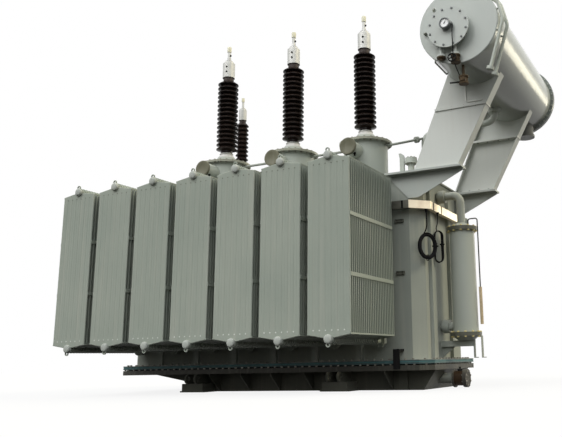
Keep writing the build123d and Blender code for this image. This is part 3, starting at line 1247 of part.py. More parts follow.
# Black control cable hanging below the trunking: a coil near the corner and a folded hank
COIL_SLIDE = COIL_ALONG / sqrt(2)
COIL_STAND = COIL_OUT / sqrt(2)
COIL_X = HALF_L - TANK_CHAMFER / 2 + COIL_SLIDE + COIL_STAND
COIL_Y = TANK_CHAMFER / 2 - HALF_W + COIL_SLIDE - COIL_STAND
COIL_Z = TRAY_BOTTOM - COIL_DROP
HANK_X = HALF_L + HANK_OUT
HANK_Y = HANK_INSET - HALF_W
HANK_Z = TRAY_BOTTOM - HANK_DROP


# A loop of cable hung from the trunking: a bundle bent into an upright slot shape, with one lead up
def cable_loop(name, centre, width, height, bundle_radius):
    half_line = (height - width) / 2
    loop_plane = Plane(centre, x_dir=(1, 1, 0), z_dir=(1, -1, 0))
    with BuildPart() as loop:
        with BuildLine(loop_plane) as loop_path:
            CenterArc((0, half_line), width / 2, 0, 180)
            Line((-width / 2, half_line), (-width / 2, -half_line))
            CenterArc((0, -half_line), width / 2, 180, 180)
            Line((width / 2, -half_line), (width / 2, half_line))
        with BuildSketch(Plane(loop_path.line @ 0, z_dir=loop_path.line % 0)):
            Circle(bundle_radius)
        sweep()
        with BuildSketch(Plane.XY.offset(TRAY_BOTTOM)):
            with Locations((centre[0], centre[1])):
                Circle(CABLE_RADIUS)
        extrude(amount=centre[2] + height / 2 - TRAY_BOTTOM)
    keep(loop, name)


cable_loop("cable_coil", (COIL_X, COIL_Y, COIL_Z), COIL_WIDTH, COIL_HEIGHT, COIL_BUNDLE_RADIUS)
cable_loop("cable_hank", (HANK_X, HANK_Y, HANK_Z), HANK_WIDTH, HANK_HEIGHT, HANK_BUNDLE_RADIUS)
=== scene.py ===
from math import cos, pi, radians, sin
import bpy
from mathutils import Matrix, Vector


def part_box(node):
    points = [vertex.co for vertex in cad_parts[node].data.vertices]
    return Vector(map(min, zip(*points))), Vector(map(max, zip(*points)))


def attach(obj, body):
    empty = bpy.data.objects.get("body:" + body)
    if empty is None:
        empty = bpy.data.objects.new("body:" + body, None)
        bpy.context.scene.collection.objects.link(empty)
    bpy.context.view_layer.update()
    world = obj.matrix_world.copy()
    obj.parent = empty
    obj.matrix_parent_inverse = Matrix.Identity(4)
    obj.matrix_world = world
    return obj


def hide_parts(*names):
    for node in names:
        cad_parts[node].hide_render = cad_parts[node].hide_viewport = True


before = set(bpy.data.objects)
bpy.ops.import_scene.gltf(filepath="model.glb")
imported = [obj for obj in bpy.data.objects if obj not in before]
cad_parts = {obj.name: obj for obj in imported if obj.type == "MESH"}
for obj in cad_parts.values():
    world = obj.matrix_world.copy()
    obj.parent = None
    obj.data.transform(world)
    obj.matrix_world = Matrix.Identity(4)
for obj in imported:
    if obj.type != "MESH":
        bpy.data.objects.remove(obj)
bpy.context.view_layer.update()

from types import SimpleNamespace

import bmesh
import bpy
import numpy as np
from mathutils import Matrix, Vector

scene = bpy.context.scene
scene.view_settings.view_transform = "Standard"

# Camera: a hand-held view from low in front of the conservator end, cropped off centre
IMAGE_W = 562
IMAGE_H = 437
FOCAL_PX = 721.55
CENTRE_PX = (392.86, 195.95)
SENSOR_MM = 36.0
EYE = Vector((5.418, -8.861, 0.345))
YAW = radians(23.52)
PITCH = radians(12.87)
ROLL = radians(-1.37)

# Surroundings
HORIZON_STRENGTH = 0.16
ZENITH_STRENGTH = 1.05
FLOOR_REACH = 60.0
FLOOR_BOUNCE = (0.022, 0.021, 0.019, 1.0)
FLOOR_SEEN = (0.62, 0.61, 0.58, 1.0)
FLOOR_GLOW = 0.86

# Directions
ORIGIN = (0, 0, 0)
RIGHT = (1, 0, 0)
LEFT = (-1, 0, 0)
FRONT = (0, -1, 0)
BACK = (0, 1, 0)
UP = (0, 0, 1)
DOWN = (0, 0, -1)
SIDES = (-1, 1)

# Places taken from the frame, in metres
TANK_LOW, TANK_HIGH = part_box("tank_body")
HALF_L = TANK_HIGH.x
HALF_W = TANK_HIGH.y
TANK_Z = TANK_LOW.z
TANK_TOP = TANK_HIGH.z
COVER_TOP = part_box("tank_cover")[1].z
FLANGE_LOW, FLANGE_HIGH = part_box("bell_flange")
FLANGE_OUT = FLANGE_HIGH.x - HALF_L
RIM_LOW, RIM_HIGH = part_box("base_rim")
PAN_HALF_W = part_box("base_pan")[1].y
TRAY_LOW, TRAY_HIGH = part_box("cable_tray")
TURRET_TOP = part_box("turrets")[1].z
CONS_LOW, CONS_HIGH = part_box("conservator_shell")
REAR_LOW, REAR_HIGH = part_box("conservator_rear")
CONS_X = (REAR_LOW.x + REAR_HIGH.x) / 2
CONS_Z = (REAR_LOW.z + REAR_HIGH.z) / 2
MANHOLE_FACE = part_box("manhole")[0].y
GAUGE_LOW, GAUGE_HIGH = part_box("oil_gauge")
GAUGE_X = (GAUGE_LOW.x + GAUGE_HIGH.x) / 2
GAUGE_Z = (GAUGE_LOW.z + GAUGE_HIGH.z) / 2
GAUGE_RADIUS = (GAUGE_HIGH.z - GAUGE_LOW.z) / 2
FILTER_LOW, FILTER_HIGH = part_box("oil_filter")
FILTER_X = (FILTER_LOW.x + FILTER_HIGH.x) / 2
FILTER_Y = (FILTER_LOW.y + FILTER_HIGH.y) / 2
DRAIN_LOW, DRAIN_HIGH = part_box("drain_valve")
DRAIN_Y = (DRAIN_LOW.y + DRAIN_HIGH.y) / 2
DRAIN_Z = (DRAIN_LOW.z + DRAIN_HIGH.z) / 2

# Tank, base and trunking: sizes that the frame's boxes do not give, in metres
TANK_CHAMFER = 0.140
LOWER_FLANGE_THICK = 0.020
JOINT_BOLT_PITCH = 0.100
GUSSET_XS = (-0.77, -0.28, 0.18, 0.67, 1.77)
GUSSET_THICK = 0.014
PAD_X = 1.925
PAD_DEEP = 0.040
DRAIN_PIPE_END = DRAIN_HIGH.x - 0.178
DRAIN_BODY_LOW = DRAIN_HIGH.x - 0.156
DRAIN_BODY_HIGH = DRAIN_HIGH.x - 0.046
FRONT_LID_END = HALF_L - TANK_CHAMFER + 0.040
FRONT_STRAP_XS = (1.30, 2.055)
END_STRAP_YS = (-0.545, -0.255)
CLEAT_X = 1.972
CLEAT_LEVELS = (2.015, 1.370)
CLEAT_HEIGHT = 0.040
RELIEF_AT = (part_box("cover_fittings")[1].x - 0.084, -0.560)

# Conservator, its legs and valves
CONS_RADIUS = 0.470
SHELL_FLANGE_THICK = 0.032
LEG_FOOT_XS = (HALF_L - 0.015, HALF_L + 0.555)
LEG_HEAD_XS = (CONS_X - 0.345, CONS_X + 0.385)
LEG_LOW = TANK_TOP + 0.014
LEG_HIGH = CONS_Z - 0.200
LEG_FACE = 0.832
LEG_MIDDLE_Y = 0.757
LEG_INNER_Y = 0.705
LEG_FOOT_TOP = TANK_TOP + 0.020
LEG_FOOT_BOLT_XS = HALF_L + np.array([0.07, 0.20, 0.34, 0.48])
LEG_JOINT_BOLT_XS = (2.60, 2.74, 2.90, 3.05)
LEG_JOINT_LOW = TANK_TOP + 0.709
LEG_JOINT_TOP = TANK_TOP + 0.737
FACE_PLATE_SINK = 0.006
FACE_PLATE_THICK = 0.0075
CONDUIT_RADIUS = 0.0065
LEG_CONDUIT_X = 2.930
LEG_CONDUIT_Y = -LEG_FACE - 0.010
MANHOLE_X = CONS_X - 0.090
MANHOLE_Z = CONS_Z - 0.040
KNOB_Z = GAUGE_Z - 0.008
LEFT_NOZZLE_X = MANHOLE_X - 0.111
RIGHT_NOZZLE_X = MANHOLE_X + 0.061
NOZZLE_Y = CONS_LOW.y - 0.040
NOZZLE_Z = MANHOLE_Z - 0.338
COCK_X = CONS_X + 0.017
COCK_Y = CONS_LOW.y + 0.080
COCK_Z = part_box("conservator_valves")[0].z
DRUM_VALVE_HEIGHT = 0.100

# Radiators
RAD_COUNT = sum(name.startswith("radiator_front_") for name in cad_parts)
BANK_XS = [(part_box(f"radiator_front_{k + 1}")[0].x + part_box(f"radiator_front_{k + 1}")[1].x) / 2
           for k in range(RAD_COUNT)]
RAD_WIDTH = 0.520
HEADER_LOW_Z = 0.582
HEADER_HIGH_Z = 2.582
HEADER_ENDS = [(bank_x, side, level) for bank_x in BANK_XS for side in SIDES
               for level in (HEADER_LOW_Z, HEADER_HIGH_Z)]
HEADER_CAP_OUT = 0.034
HEADER_FLANGE_THICK = 0.018
RAD_FACE = -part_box("radiator_front_1")[0].y - HEADER_CAP_OUT
VALVE_FACE = 0.862
LEVER_Y = 0.829
LEVER_ABOVE = 0.078
LEVER_UNIT = 0.007

# Outer sheets of the radiators; a share is of the sheet's width or height, or of one flute
FLUTES = 7
SHEET_COLUMNS = 141
SHEET_SINK = 0.001
SHEET_PROUD = 0.0055
CHANNEL_DEPTH = 0.0035
VALLEY_HALF_SHARE = 0.11
VALLEY_LIMIT_SHARE = 0.43
LINE_HALF_SHARE = 0.08
LINE_LIMIT_SHARE = 0.49
LINE_DEPTH_SHARE = 0.55
RIM_SHARE_ALONG = 0.0030
RIM_SHARE_ACROSS = 0.0143
FADE_START = 0.006
FADE_RUN = 0.026
SHOULDER_DROP = 0.045
WELD_ROW_INSET = 0.045
SPOT_PROUD = 0.004
SPOT_RADIUS = 0.009

# Bushings and turrets
HV_PITCH = 1.161
HV_LAST_X = HALF_L - 0.935
HV_XS = HV_LAST_X - HV_PITCH * np.array([2, 1, 0])
HV_Y = -0.300
TURRET_BODY_RADIUS = 0.302
TURRET_HEAD_RADIUS = 0.362
TURRET_FOOT_RADIUS = 0.390
TURRET_FLANGE_THICK = 0.030
CT_BOX_Z = TURRET_TOP - 0.176
CT_BOX_FACE = 0.845
CT_BOX_RADIUS = 0.098
CT_GLAND_OFFSET = 0.060
CT_GLAND_Y = 0.080 - CT_BOX_FACE
CT_CONDUIT_SAG = 0.100
ADAPTER_FLANGE_RADIUS = 0.250
ADAPTER_FLANGE_THICK = 0.024
ADAPTER_TOP = TURRET_TOP + 0.173
HV_CAP_LOW = 4.640
HV_CAP_TOP = 4.886
HV_NECK = 0.070
HV_HEAD_RADIUS = 0.089
HV_TERMINAL_TOP = 5.151
HEAD_SCREW_TURNS = (-76.0, 104.0)
HEAD_SCREW_SHARES = np.array([0.34, 0.66])
NEUTRAL_AT = (-1.170, 0.300)
NEUTRAL_NECK_LOW = 4.110
NEUTRAL_CAP_LOW = 4.162
NEUTRAL_CAP_TOP = 4.345
NEUTRAL_TERMINAL_TOP = 4.540

# Oil filter
FILTER_FLANGE_THICK = 0.024
FILTER_BOTTOM = TANK_Z + 0.289
FILTER_TOP = TANK_TOP - 0.640
FILTER_FLANGES = ((FILTER_BOTTOM, FILTER_BOTTOM + 2 * FILTER_FLANGE_THICK),
                  (FILTER_TOP - 2 * FILTER_FLANGE_THICK, FILTER_TOP))

# Cable hung from the trunking
COIL_CENTRE = np.array([2.2987, -0.6673, 1.708])
COIL_CABLE = 0.018
COIL_TURNS = 8
COIL_POINTS_A_TURN = 16
COIL_HALF_WIDTH = 0.106
COIL_HALF_HEIGHT = 0.146
COIL_SPREAD = 0.017
HANK_CENTRE = np.array([2.340, -0.380, 1.735])
HANK_CABLE = 0.0135
HANK_TURNS = 5
HANK_FOLD = 0.050
HANK_HALF_LINE = 0.150
HANG_ALONG = np.array([1.0, 1.0, 0.0]) / np.sqrt(2.0)
HANG_OUT = np.array([1.0, -1.0, 0.0]) / np.sqrt(2.0)

# Finishes
DUST = (0.46, 0.44, 0.38)
EDGE_BLUR = 0.0005
EDGE_OVER = 0.001
TEAL = (0.085, 0.14, 0.142)
FILTER_FLANGE_TONE = (0.11, 0.11, 0.085)
DRUM_FLANGE_TONE = (0.19, 0.205, 0.187)


def add_camera():
    """The view direction comes from yaw and pitch, the picture's right side is then rolled about it."""
    forward = Vector((-sin(YAW) * cos(PITCH), cos(YAW) * cos(PITCH), sin(PITCH)))
    level_right = Vector((cos(YAW), sin(YAW), 0.0))
    level_up = level_right.cross(forward)
    right = cos(ROLL) * level_right + sin(ROLL) * level_up
    up = right.cross(forward)
    data = bpy.data.cameras.new("camera")
    camera = bpy.data.objects.new("camera", data)
    scene.collection.objects.link(camera)
    camera.matrix_world = Matrix.Translation(EYE) @ Matrix((right, up, -forward)).transposed().to_4x4()
    data.sensor_width = SENSOR_MM
    data.lens = FOCAL_PX / IMAGE_W * SENSOR_MM
    data.shift_x = (IMAGE_W / 2 - CENTRE_PX[0]) / IMAGE_W
    data.shift_y = (CENTRE_PX[1] - IMAGE_H / 2) / IMAGE_W
    data.clip_end = 200.0
    scene.camera = camera


# Shader helpers
def feed(tree, socket, value):
    """Links another node's output to a socket, or sets a plain value on it."""
    if isinstance(value, bpy.types.NodeSocket):
        tree.links.new(value, socket)
    else:
        socket.default_value = value


def add_node(tree, kind, **inputs):
    """Adds one node and fills or links each named input."""
    node = tree.nodes.new(kind)
    for key, value in inputs.items():
        feed(tree, node.inputs[key.replace("_", " ")], value)
    return node


def noise(tree, vector, scale, detail, stretch=(1.0, 1.0, 1.0)):
    """Noise value in 0 to 1, on coordinates that are first stretched along each axis."""
    mapped = add_node(tree, "ShaderNodeMapping", Vector=vector, Scale=stretch)
    made = add_node(tree, "ShaderNodeTexNoise", Vector=mapped.outputs[0], Scale=scale, Detail=detail)
    return made.outputs[0]


def remap(tree, value, low, high, to_low=0.0, to_high=1.0):
    """Straight-line remap of a value range, clamped at both ends."""
    made = add_node(tree, "ShaderNodeMapRange", Value=value, From_Min=low, From_Max=high,
                    To_Min=to_low, To_Max=to_high)
    return made.outputs[0]


def combine(tree, operation, first, second):
    """Result of one Math node on two values."""
    made = tree.nodes.new("ShaderNodeMath")
    made.operation = operation
    feed(tree, made.inputs[0], first)
    feed(tree, made.inputs[1], second)
    return made.outputs[0]


def mix_colour(tree, factor, first, second):
    """Colour that goes from first to second as the factor goes from 0 to 1."""
    made = tree.nodes.new("ShaderNodeMix")
    made.data_type = "RGBA"
    for index, value in ((0, factor), (6, first), (7, second)):
        feed(tree, made.inputs[index], value)
    return made.outputs[2]


def mix_shaders(tree, factor, first, second, output):
    """Two shaders mixed by a factor and led to a new output node."""
    blend = tree.nodes.new("ShaderNodeMixShader")
    for socket, value in zip(blend.inputs, (factor, first.outputs[0], second.outputs[0])):
        tree.links.new(value, socket)
    tree.links.new(blend.outputs[0], tree.nodes.new(output).inputs[0])


def new_group(name, inputs, outputs):
    """Empty shader group with named sockets; returns the tree and its two end nodes."""
    tree = bpy.data.node_groups.new(name, "ShaderNodeTree")
    for socket, kind in inputs:
        tree.interface.new_socket(socket, in_out="INPUT", socket_type=kind)
    for socket, kind in outputs:
        tree.interface.new_socket(socket, in_out="OUTPUT", socket_type=kind)
    return tree, tree.nodes.new("NodeGroupInput"), tree.nodes.new("NodeGroupOutput")


def opaque(colour):
    """Colour with full alpha, as sockets take it."""
    return (*colour, 1.0)


def weather_group():
    """Outdoor ageing: broad cloudy fading, fine mottle, upright rain streaks, and dust on upward faces."""
    tree, given, result = new_group(
        "outdoor ageing",
        [("Vector", "NodeSocketVector"), ("Paint", "NodeSocketColor"), ("Faded", "NodeSocketColor"),
         ("Dust", "NodeSocketColor"), ("Streaks", "NodeSocketFloat"), ("Dust Amount", "NodeSocketFloat"),
         ("Roughness", "NodeSocketFloat")],
        [("Color", "NodeSocketColor"), ("Roughness", "NodeSocketFloat"), ("Height", "NodeSocketFloat")],
    )
    place = given.outputs["Vector"]
    cloud = remap(tree, noise(tree, place, scale=1.1, detail=4.0), 0.35, 0.68)
    mottle = remap(tree, noise(tree, place, scale=26.0, detail=5.0), 0.42, 0.7, 0.0, 0.35)
    rain = remap(tree, noise(tree, place, scale=1.0, detail=4.0, stretch=(17.0, 17.0, 0.7)), 0.52, 0.78)
    streak = combine(tree, "MULTIPLY", rain, given.outputs["Streaks"])
    geometry = tree.nodes.new("ShaderNodeNewGeometry")
    upright = add_node(tree, "ShaderNodeSeparateXYZ", Vector=geometry.outputs["Normal"])
    settled = remap(tree, upright.outputs["Z"], 0.55, 0.98)
    patches = remap(tree, noise(tree, place, scale=7.0, detail=6.0), 0.3, 0.62)
    patchy = combine(tree, "MULTIPLY", settled, patches)
    dusty = combine(tree, "MULTIPLY", patchy, given.outputs["Dust Amount"])
    colour = mix_colour(tree, cloud, given.outputs["Paint"], given.outputs["Faded"])
    colour = mix_colour(tree, combine(tree, "MULTIPLY", mottle, 0.5), colour, given.outputs["Faded"])
    for share in (streak, dusty):
        colour = mix_colour(tree, share, colour, given.outputs["Dust"])
    rough = combine(tree, "ADD", given.outputs["Roughness"], combine(tree, "MULTIPLY", mottle, 0.35))
    fine = noise(tree, place, scale=110.0, detail=3.0)
    for socket, value in (("Color", colour), ("Roughness", rough), ("Height", fine)):
        tree.links.new(value, result.inputs[socket])
    return tree


def grain_group():
    """Drawn or rolled metal: fine lines along one direction, set by the stretch, over a slow stain."""
    tree, given, result = new_group(
        "metal grain",
        [("Vector", "NodeSocketVector"), ("Metal", "NodeSocketColor"), ("Stain", "NodeSocketColor"),
         ("Stretch", "NodeSocketVector"), ("Roughness", "NodeSocketFloat")],
        [("Color", "NodeSocketColor"), ("Roughness", "NodeSocketFloat"), ("Height", "NodeSocketFloat")],
    )
    place = given.outputs["Vector"]
    lines = noise(tree, place, scale=40.0, detail=4.0, stretch=given.outputs["Stretch"])
    stain = remap(tree, noise(tree, place, scale=9.0, detail=5.0), 0.45, 0.75, 0.0, 0.6)
    colour = mix_colour(tree, stain, given.outputs["Metal"], given.outputs["Stain"])
    rough = combine(tree, "ADD", given.outputs["Roughness"], remap(tree, lines, 0.3, 0.7, -0.07, 0.1))
    for socket, value in (("Color", colour), ("Roughness", rough), ("Height", lines)):
        tree.links.new(value, result.inputs[socket])
    return tree


def new_look(name, group, bump, **values):
    """Material whose colour, roughness and bump come from a shared group on Object coordinates."""
    material = bpy.data.materials.new(name)
    material.use_nodes = True
    tree = material.node_tree
    shader = tree.nodes["Principled BSDF"]
    place = tree.nodes.new("ShaderNodeTexCoord").outputs["Object"]
    effect = tree.nodes.new("ShaderNodeGroup")
    effect.node_tree = group
    tree.links.new(place, effect.inputs["Vector"])
    for key, value in values.items():
        effect.inputs[key.replace("_", " ")].default_value = value
    height = add_node(tree, "ShaderNodeBump", Height=effect.outputs["Height"], Strength=bump, Distance=0.002)
    tree.links.new(effect.outputs["Color"], shader.inputs["Base Color"])
    tree.links.new(effect.outputs["Roughness"], shader.inputs["Roughness"])
    tree.links.new(height.outputs["Normal"], shader.inputs["Normal"])
    return SimpleNamespace(material=material, tree=tree, shader=shader, place=place,
                           colour=effect.outputs["Color"])


def set_sheen(look, metallic=0.0, gloss=0.5):
    """Sets how metallic and how glossy a look is, and gives its material."""
    look.shader.inputs["Metallic"].default_value = metallic
    look.shader.inputs["Specular IOR Level"].default_value = gloss
    return look.material


def lay_bands(look, axis, bands):
    """Bands of other colours along an Object axis, over the look's own: each has two edges and a colour."""
    split = add_node(look.tree, "ShaderNodeSeparateXYZ", Vector=look.place)
    colour = look.colour
    for low, high, inside in bands:
        after = remap(look.tree, split.outputs[axis], low - EDGE_BLUR, low + EDGE_BLUR)
        before = remap(look.tree, split.outputs[axis], high + EDGE_BLUR, high - EDGE_BLUR)
        colour = mix_colour(look.tree, combine(look.tree, "MULTIPLY", after, before), colour, inside)
    look.tree.links.new(colour, look.shader.inputs["Base Color"])


def paint(name, colour, faded, streaks=0.35, dust_amount=0.5, rough=0.42, bump=0.06, gloss=0.25, dust=DUST):
    """Satin plant paint with outdoor ageing."""
    look = new_look(name, AGEING, bump, Paint=opaque(colour), Faded=opaque(faded), Dust=opaque(dust),
                    Streaks=streaks, Dust_Amount=dust_amount, Roughness=rough)
    return set_sheen(look, gloss=gloss)


def metal(name, colour, stain, rough, stretch=(1.0, 1.0, 1.0), bump=0.08, metallic=1.0, gloss=0.5):
    """Bare metal with a directional grain and a slow stain."""
    look = new_look(name, GRAIN, bump, Metal=opaque(colour), Stain=opaque(stain), Stretch=stretch,
                    Roughness=rough)
    return set_sheen(look, metallic, gloss)


def trunking_sheet():
    """Bright rolled sheet with a cream tint; along the front wall the lid is painted darker, as painted
    shade.
    """
    look = new_look("trunking_sheet", GRAIN, bump=0.08, Metal=(0.90, 0.785, 0.595, 1.0),
                    Stain=(0.70, 0.575, 0.425, 1.0), Stretch=(0.3, 0.3, 6.0), Roughness=0.38)
    # Painted shade: the trunking along the front wall, up to FRONT_LID_END, is darkened.
    lay_bands(look, "X", [(TRAY_LOW.x - 0.010, FRONT_LID_END, (0.16, 0.155, 0.13, 1.0))])
    return set_sheen(look, metallic=0.6)


def drum_paint():
    """Glossy paint on the drum; the bolted flange at its rear end is dull and dark."""
    look = new_look("drum_paint", AGEING, bump=0.015, Paint=(0.45, 0.48, 0.455, 1.0),
                    Faded=(0.49, 0.515, 0.485, 1.0), Dust=opaque(DUST), Streaks=0.12, Dust_Amount=0.5,
                    Roughness=0.14)
    flange_front = REAR_LOW.y - SHELL_FLANGE_THICK - EDGE_OVER - EDGE_BLUR
    lay_bands(look, "Y", [(flange_front, REAR_HIGH.y + 0.010, opaque(DRUM_FLANGE_TONE))])
    return set_sheen(look, gloss=0.18)


def cap_alloy():
    """Dull cast alloy for the heads of the bushings; their necks, just above the porcelain, are dark."""
    look = new_look("cap_alloy", GRAIN, bump=0.03, Metal=(0.54, 0.54, 0.52, 1.0),
                    Stain=(0.43, 0.43, 0.41, 1.0), Stretch=(1.0, 1.0, 1.0), Roughness=0.5)
    dark = (0.022, 0.014, 0.011, 1.0)
    necks = ((HV_CAP_LOW - HV_NECK, HV_CAP_LOW), (NEUTRAL_NECK_LOW, NEUTRAL_CAP_LOW))
    lay_bands(look, "Z", [(low - EDGE_BLUR, high + EDGE_BLUR, dark) for low, high in necks])
    return set_sheen(look, metallic=0.4)


def banded(name, axis, bands, outside, rough=0.5, gloss=0.2):
    """Several finishes on one piece: each band along an Object axis has two edges and its own worn colour."""
    look = new_look(name, AGEING, bump=0.08, Paint=opaque(outside), Faded=opaque(outside),
                    Dust=(0.4, 0.38, 0.33, 1.0), Streaks=0.2, Dust_Amount=0.3, Roughness=rough)
    wear = remap(look.tree, noise(look.tree, look.place, scale=18.0, detail=5.0), 0.35, 0.7, 0.0, 0.4)
    worn_bands = []
    for low, high, inside in bands:
        worn = mix_colour(look.tree, wear, opaque(inside), opaque([0.5 * part for part in inside]))
        worn_bands.append((low, high, worn))
    lay_bands(look, axis, worn_bands)
    return set_sheen(look, gloss=gloss)


# Mesh helpers
def grid_faces(rows, columns, wrap_columns=False):
    """Quads over points numbered row by row: each joins a point to its next one in both directions."""
    row, column = np.meshgrid(np.arange(rows - 1), np.arange(columns - (not wrap_columns)), indexing="ij")
    after = (column + 1) % columns
    corners = [row * columns + column, row * columns + after,
               (row + 1) * columns + after, (row + 1) * columns + column]
    return np.stack(corners, axis=-1).reshape(-1, 4)


def make_piece(name, points, faces, material, slot, smooth=True):
    """Puts arrays into a mesh, closes seams and poles by merging doubles, and turns the faces outwards."""
    mesh = bpy.data.meshes.new(name)
    mesh.from_pydata(np.asarray(points).reshape(-1, 3).tolist(), [], np.asarray(faces).tolist())
    shell = bmesh.new()
    shell.from_mesh(mesh)
    bmesh.ops.remove_doubles(shell, verts=shell.verts, dist=2e-5)
    bmesh.ops.recalc_face_normals(shell, faces=shell.faces)
    shell.to_mesh(mesh)
    shell.free()
    mesh.polygons.foreach_set("use_smooth", np.full(len(mesh.polygons), smooth))
    if smooth:
        mesh.set_sharp_from_angle(angle=radians(35))
    mesh.materials.append(material)
    piece = bpy.data.objects.new(name, mesh)
    scene.collection.objects.link(piece)
    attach(piece, "root")
    return piece


def join(shapes):
    """Several point and face arrays as one, with the face numbers moved on."""
    counts = np.cumsum([0] + [len(points) for points, faces in shapes[:-1]])
    points = np.concatenate([points for points, faces in shapes])
    faces = np.concatenate([faces + start for (made, faces), start in zip(shapes, counts)])
    return points, faces


def square_frames(axes):
    """For each axis, three unit directions: two across it and the axis itself."""
    axes = np.asarray(axes, dtype=float)
    axes = axes / np.linalg.norm(axes, axis=1, keepdims=True)
    helper = np.where(np.abs(axes[:, 2:3]) > 0.9, [[1.0, 0.0, 0.0]], [[0.0, 0.0, 1.0]])
    across = np.cross(helper, axes)
    across = across / np.linalg.norm(across, axis=1, keepdims=True)
    return np.stack([across, np.cross(axes, across), axes], axis=1)


def turned(profile, centre, axis, segments=40):
    """A half profile of (radius, height) pairs carried round an axis through the centre."""
    profile = np.asarray(profile, dtype=float)
    angle = np.linspace(0.0, 2.0 * pi, segments, endpoint=False)
    circle = np.stack([np.cos(angle), np.sin(angle)], axis=-1)
    frame_axes = square_frames([axis])[0]
    flat = profile[:, None, 0, None] * circle[None]
    height = np.broadcast_to(profile[:, None, 1, None], flat.shape[:2] + (1,))
    points = np.concatenate([flat, height], axis=-1) @ frame_axes + np.asarray(centre, dtype=float)
    return points.reshape(-1, 3), grid_faces(len(profile), segments, wrap_columns=True)


def ring_path(centre, first, second, radius, steps):
    """Closed circle of points about a centre, in the plane of two directions."""
    turns = np.linspace(0.0, 2.0 * pi, steps)[:, None]
    circle = np.cos(turns) * np.asarray(first) + np.sin(turns) * np.asarray(second)
    return np.asarray(centre) + radius * circle


def smooth_path(route, samples=12):
    """Points along a quadratic B-spline that starts and ends on the route and rounds its corners."""
    route = np.asarray(route, dtype=float)
    route = np.concatenate([route[:1], route, route[-1:]])
    t = np.linspace(0.0, 1.0, samples, endpoint=False)[None, :, None]
    first, middle, last = route[:-2, None], route[1:-1, None], route[2:, None]
    path = 0.5 * (1 - t) ** 2 * first + (0.5 + t - t * t) * middle + 0.5 * t * t * last
    return np.concatenate([path.reshape(-1, 3), route[-1:]])


def tube(path, radius, sides=10):
    """A circle carried along a path, square to its run, with both ends drawn in to a point."""
    path = np.asarray(path, dtype=float)
    run = np.gradient(path, axis=0)
    axes = square_frames(run + 1e-9)
    angle = np.linspace(0.0, 2.0 * pi, sides, endpoint=False)
    ring = np.cos(angle)[None, :, None] * axes[:, None, 0] + np.sin(angle)[None, :, None] * axes[:, None, 1]
    body = path[:, None] + radius * ring
    ends = np.broadcast_to(path[[0, -1]][:, None], (2, sides, 3))
    points = np.concatenate([ends[:1], body, ends[1:]])
    return points.reshape(-1, 3), grid_faces(len(points), sides, wrap_columns=True)


def prism(outline, origin, across, up, length):
    """A flat outline set on two directions and carried along their normal, closed at both ends."""
    outline = np.asarray(outline, dtype=float)
    across = np.asarray(across, dtype=float)
    up = np.asarray(up, dtype=float)
    flat = outline[:, :1] * across + outline[:, 1:] * up + np.asarray(origin, dtype=float)
    middle = np.broadcast_to(flat.mean(axis=0), flat.shape)
    reach = np.cross(across, up) * length
    points = np.stack([middle, flat, flat + reach, middle + reach])
    return points.reshape(-1, 3), grid_faces(4, len(outline), wrap_columns=True)


def scatter(shape, places, axes, sizes):
    """Copies of one small shape, each at its place, along its axis and times its size."""
    points, faces = shape
    frames = square_frames(axes)
    places = np.asarray(places, dtype=float)
    sizes = np.broadcast_to(np.asarray(sizes, dtype=float).reshape(-1, 1, 1), (len(places), 1, 1))
    copies = places[:, None] + sizes * np.einsum("pk,nkc->npc", points, frames)
    numbers = faces[None] + (np.arange(len(places)) * len(points))[:, None, None]
    return copies.reshape(-1, 3), numbers.reshape(-1, 4)


# Cords: the control cable in its coil and in its hank
def add_cord(name, points, diameter, node, on_it):
    """A smooth curve with the route's points as its control points, as thick as the cable."""
    data = bpy.data.curves.new(name, "CURVE")
    data.dimensions = "3D"
    spline = data.splines.new("NURBS")
    spline.points.add(len(points) - 1)
    spline.points.foreach_set("co", np.column_stack([points, np.ones(len(points))]).ravel())
    spline.order_u = 3
    spline.use_endpoint_u = True
    spline.resolution_u = 4
    data.bevel_depth = diameter / 2
    data.bevel_resolution = 2
    data.use_fill_caps = True
    data.materials.append(CABLE)
    cord = bpy.data.objects.new(name, data)
    scene.collection.objects.link(cord)
    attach(cord, "root")
    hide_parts(node)


def hung_route(centre, lead, across, height, stand):
    """Lead and turns as points about a centre, from places along the wall, up it and out from it."""
    turns = np.column_stack([across, height, stand])
    flat = np.concatenate([np.column_stack([lead, np.zeros(len(lead))]), turns])
    return centre + flat @ np.array([HANG_ALONG, UP, HANG_OUT])


def coil_route():
    """Lead straight down from the trunking, then oval turns; each turn has its own place in the bundle."""
    lead = np.array([[0.0, 0.462], [0.0, 0.38], [0.0, 0.30], [-0.004, 0.235], [-0.022, 0.180]])
    turn = np.arange(COIL_TURNS * COIL_POINTS_A_TURN - 3) / COIL_POINTS_A_TURN
    angle = radians(128.0) + 2.0 * pi * turn
    wander = 2.4 * turn + 0.4
    swell = COIL_SPREAD * np.sin(wander)
    across = (COIL_HALF_WIDTH + swell) * np.cos(angle)
    height = (COIL_HALF_HEIGHT + swell) * np.sin(angle)
    return hung_route(COIL_CENTRE, lead, across, height, COIL_SPREAD * np.cos(wander))


def hank_route():
    """Lead down into long narrow turns: half circles at both folds and three points on each straight run."""
    lead = np.array([[0.0, 0.435], [0.0, 0.36], [-0.004, 0.30], [-0.030, 0.235]])
    fold = np.radians([120, 150, 180, 180, 180, 180, 180, 210, 240, 270, 300, 330, 360, 360, 360, 360, 360,
                       390, 420, 450])
    level = np.array([1, 1, 1, 0.5, 0, -0.5, -1, -1, -1, -1, -1, -1, -1, -0.5, 0, 0.5, 1, 1, 1, 1.0])
    turn = np.arange(HANK_TURNS * len(fold)) / len(fold)
    fold = np.tile(fold, HANK_TURNS)
    swell = 0.008 * np.sin(2.1 * turn)
    across = (HANK_FOLD + swell) * np.cos(fold)
    straight = np.tile(level, HANK_TURNS) * (HANK_HALF_LINE - 1.2 * swell)
    height = straight + (HANK_FOLD + swell) * np.sin(fold)
    return hung_route(HANK_CENTRE, lead, across, height, 0.015 * np.cos(1.7 * turn))


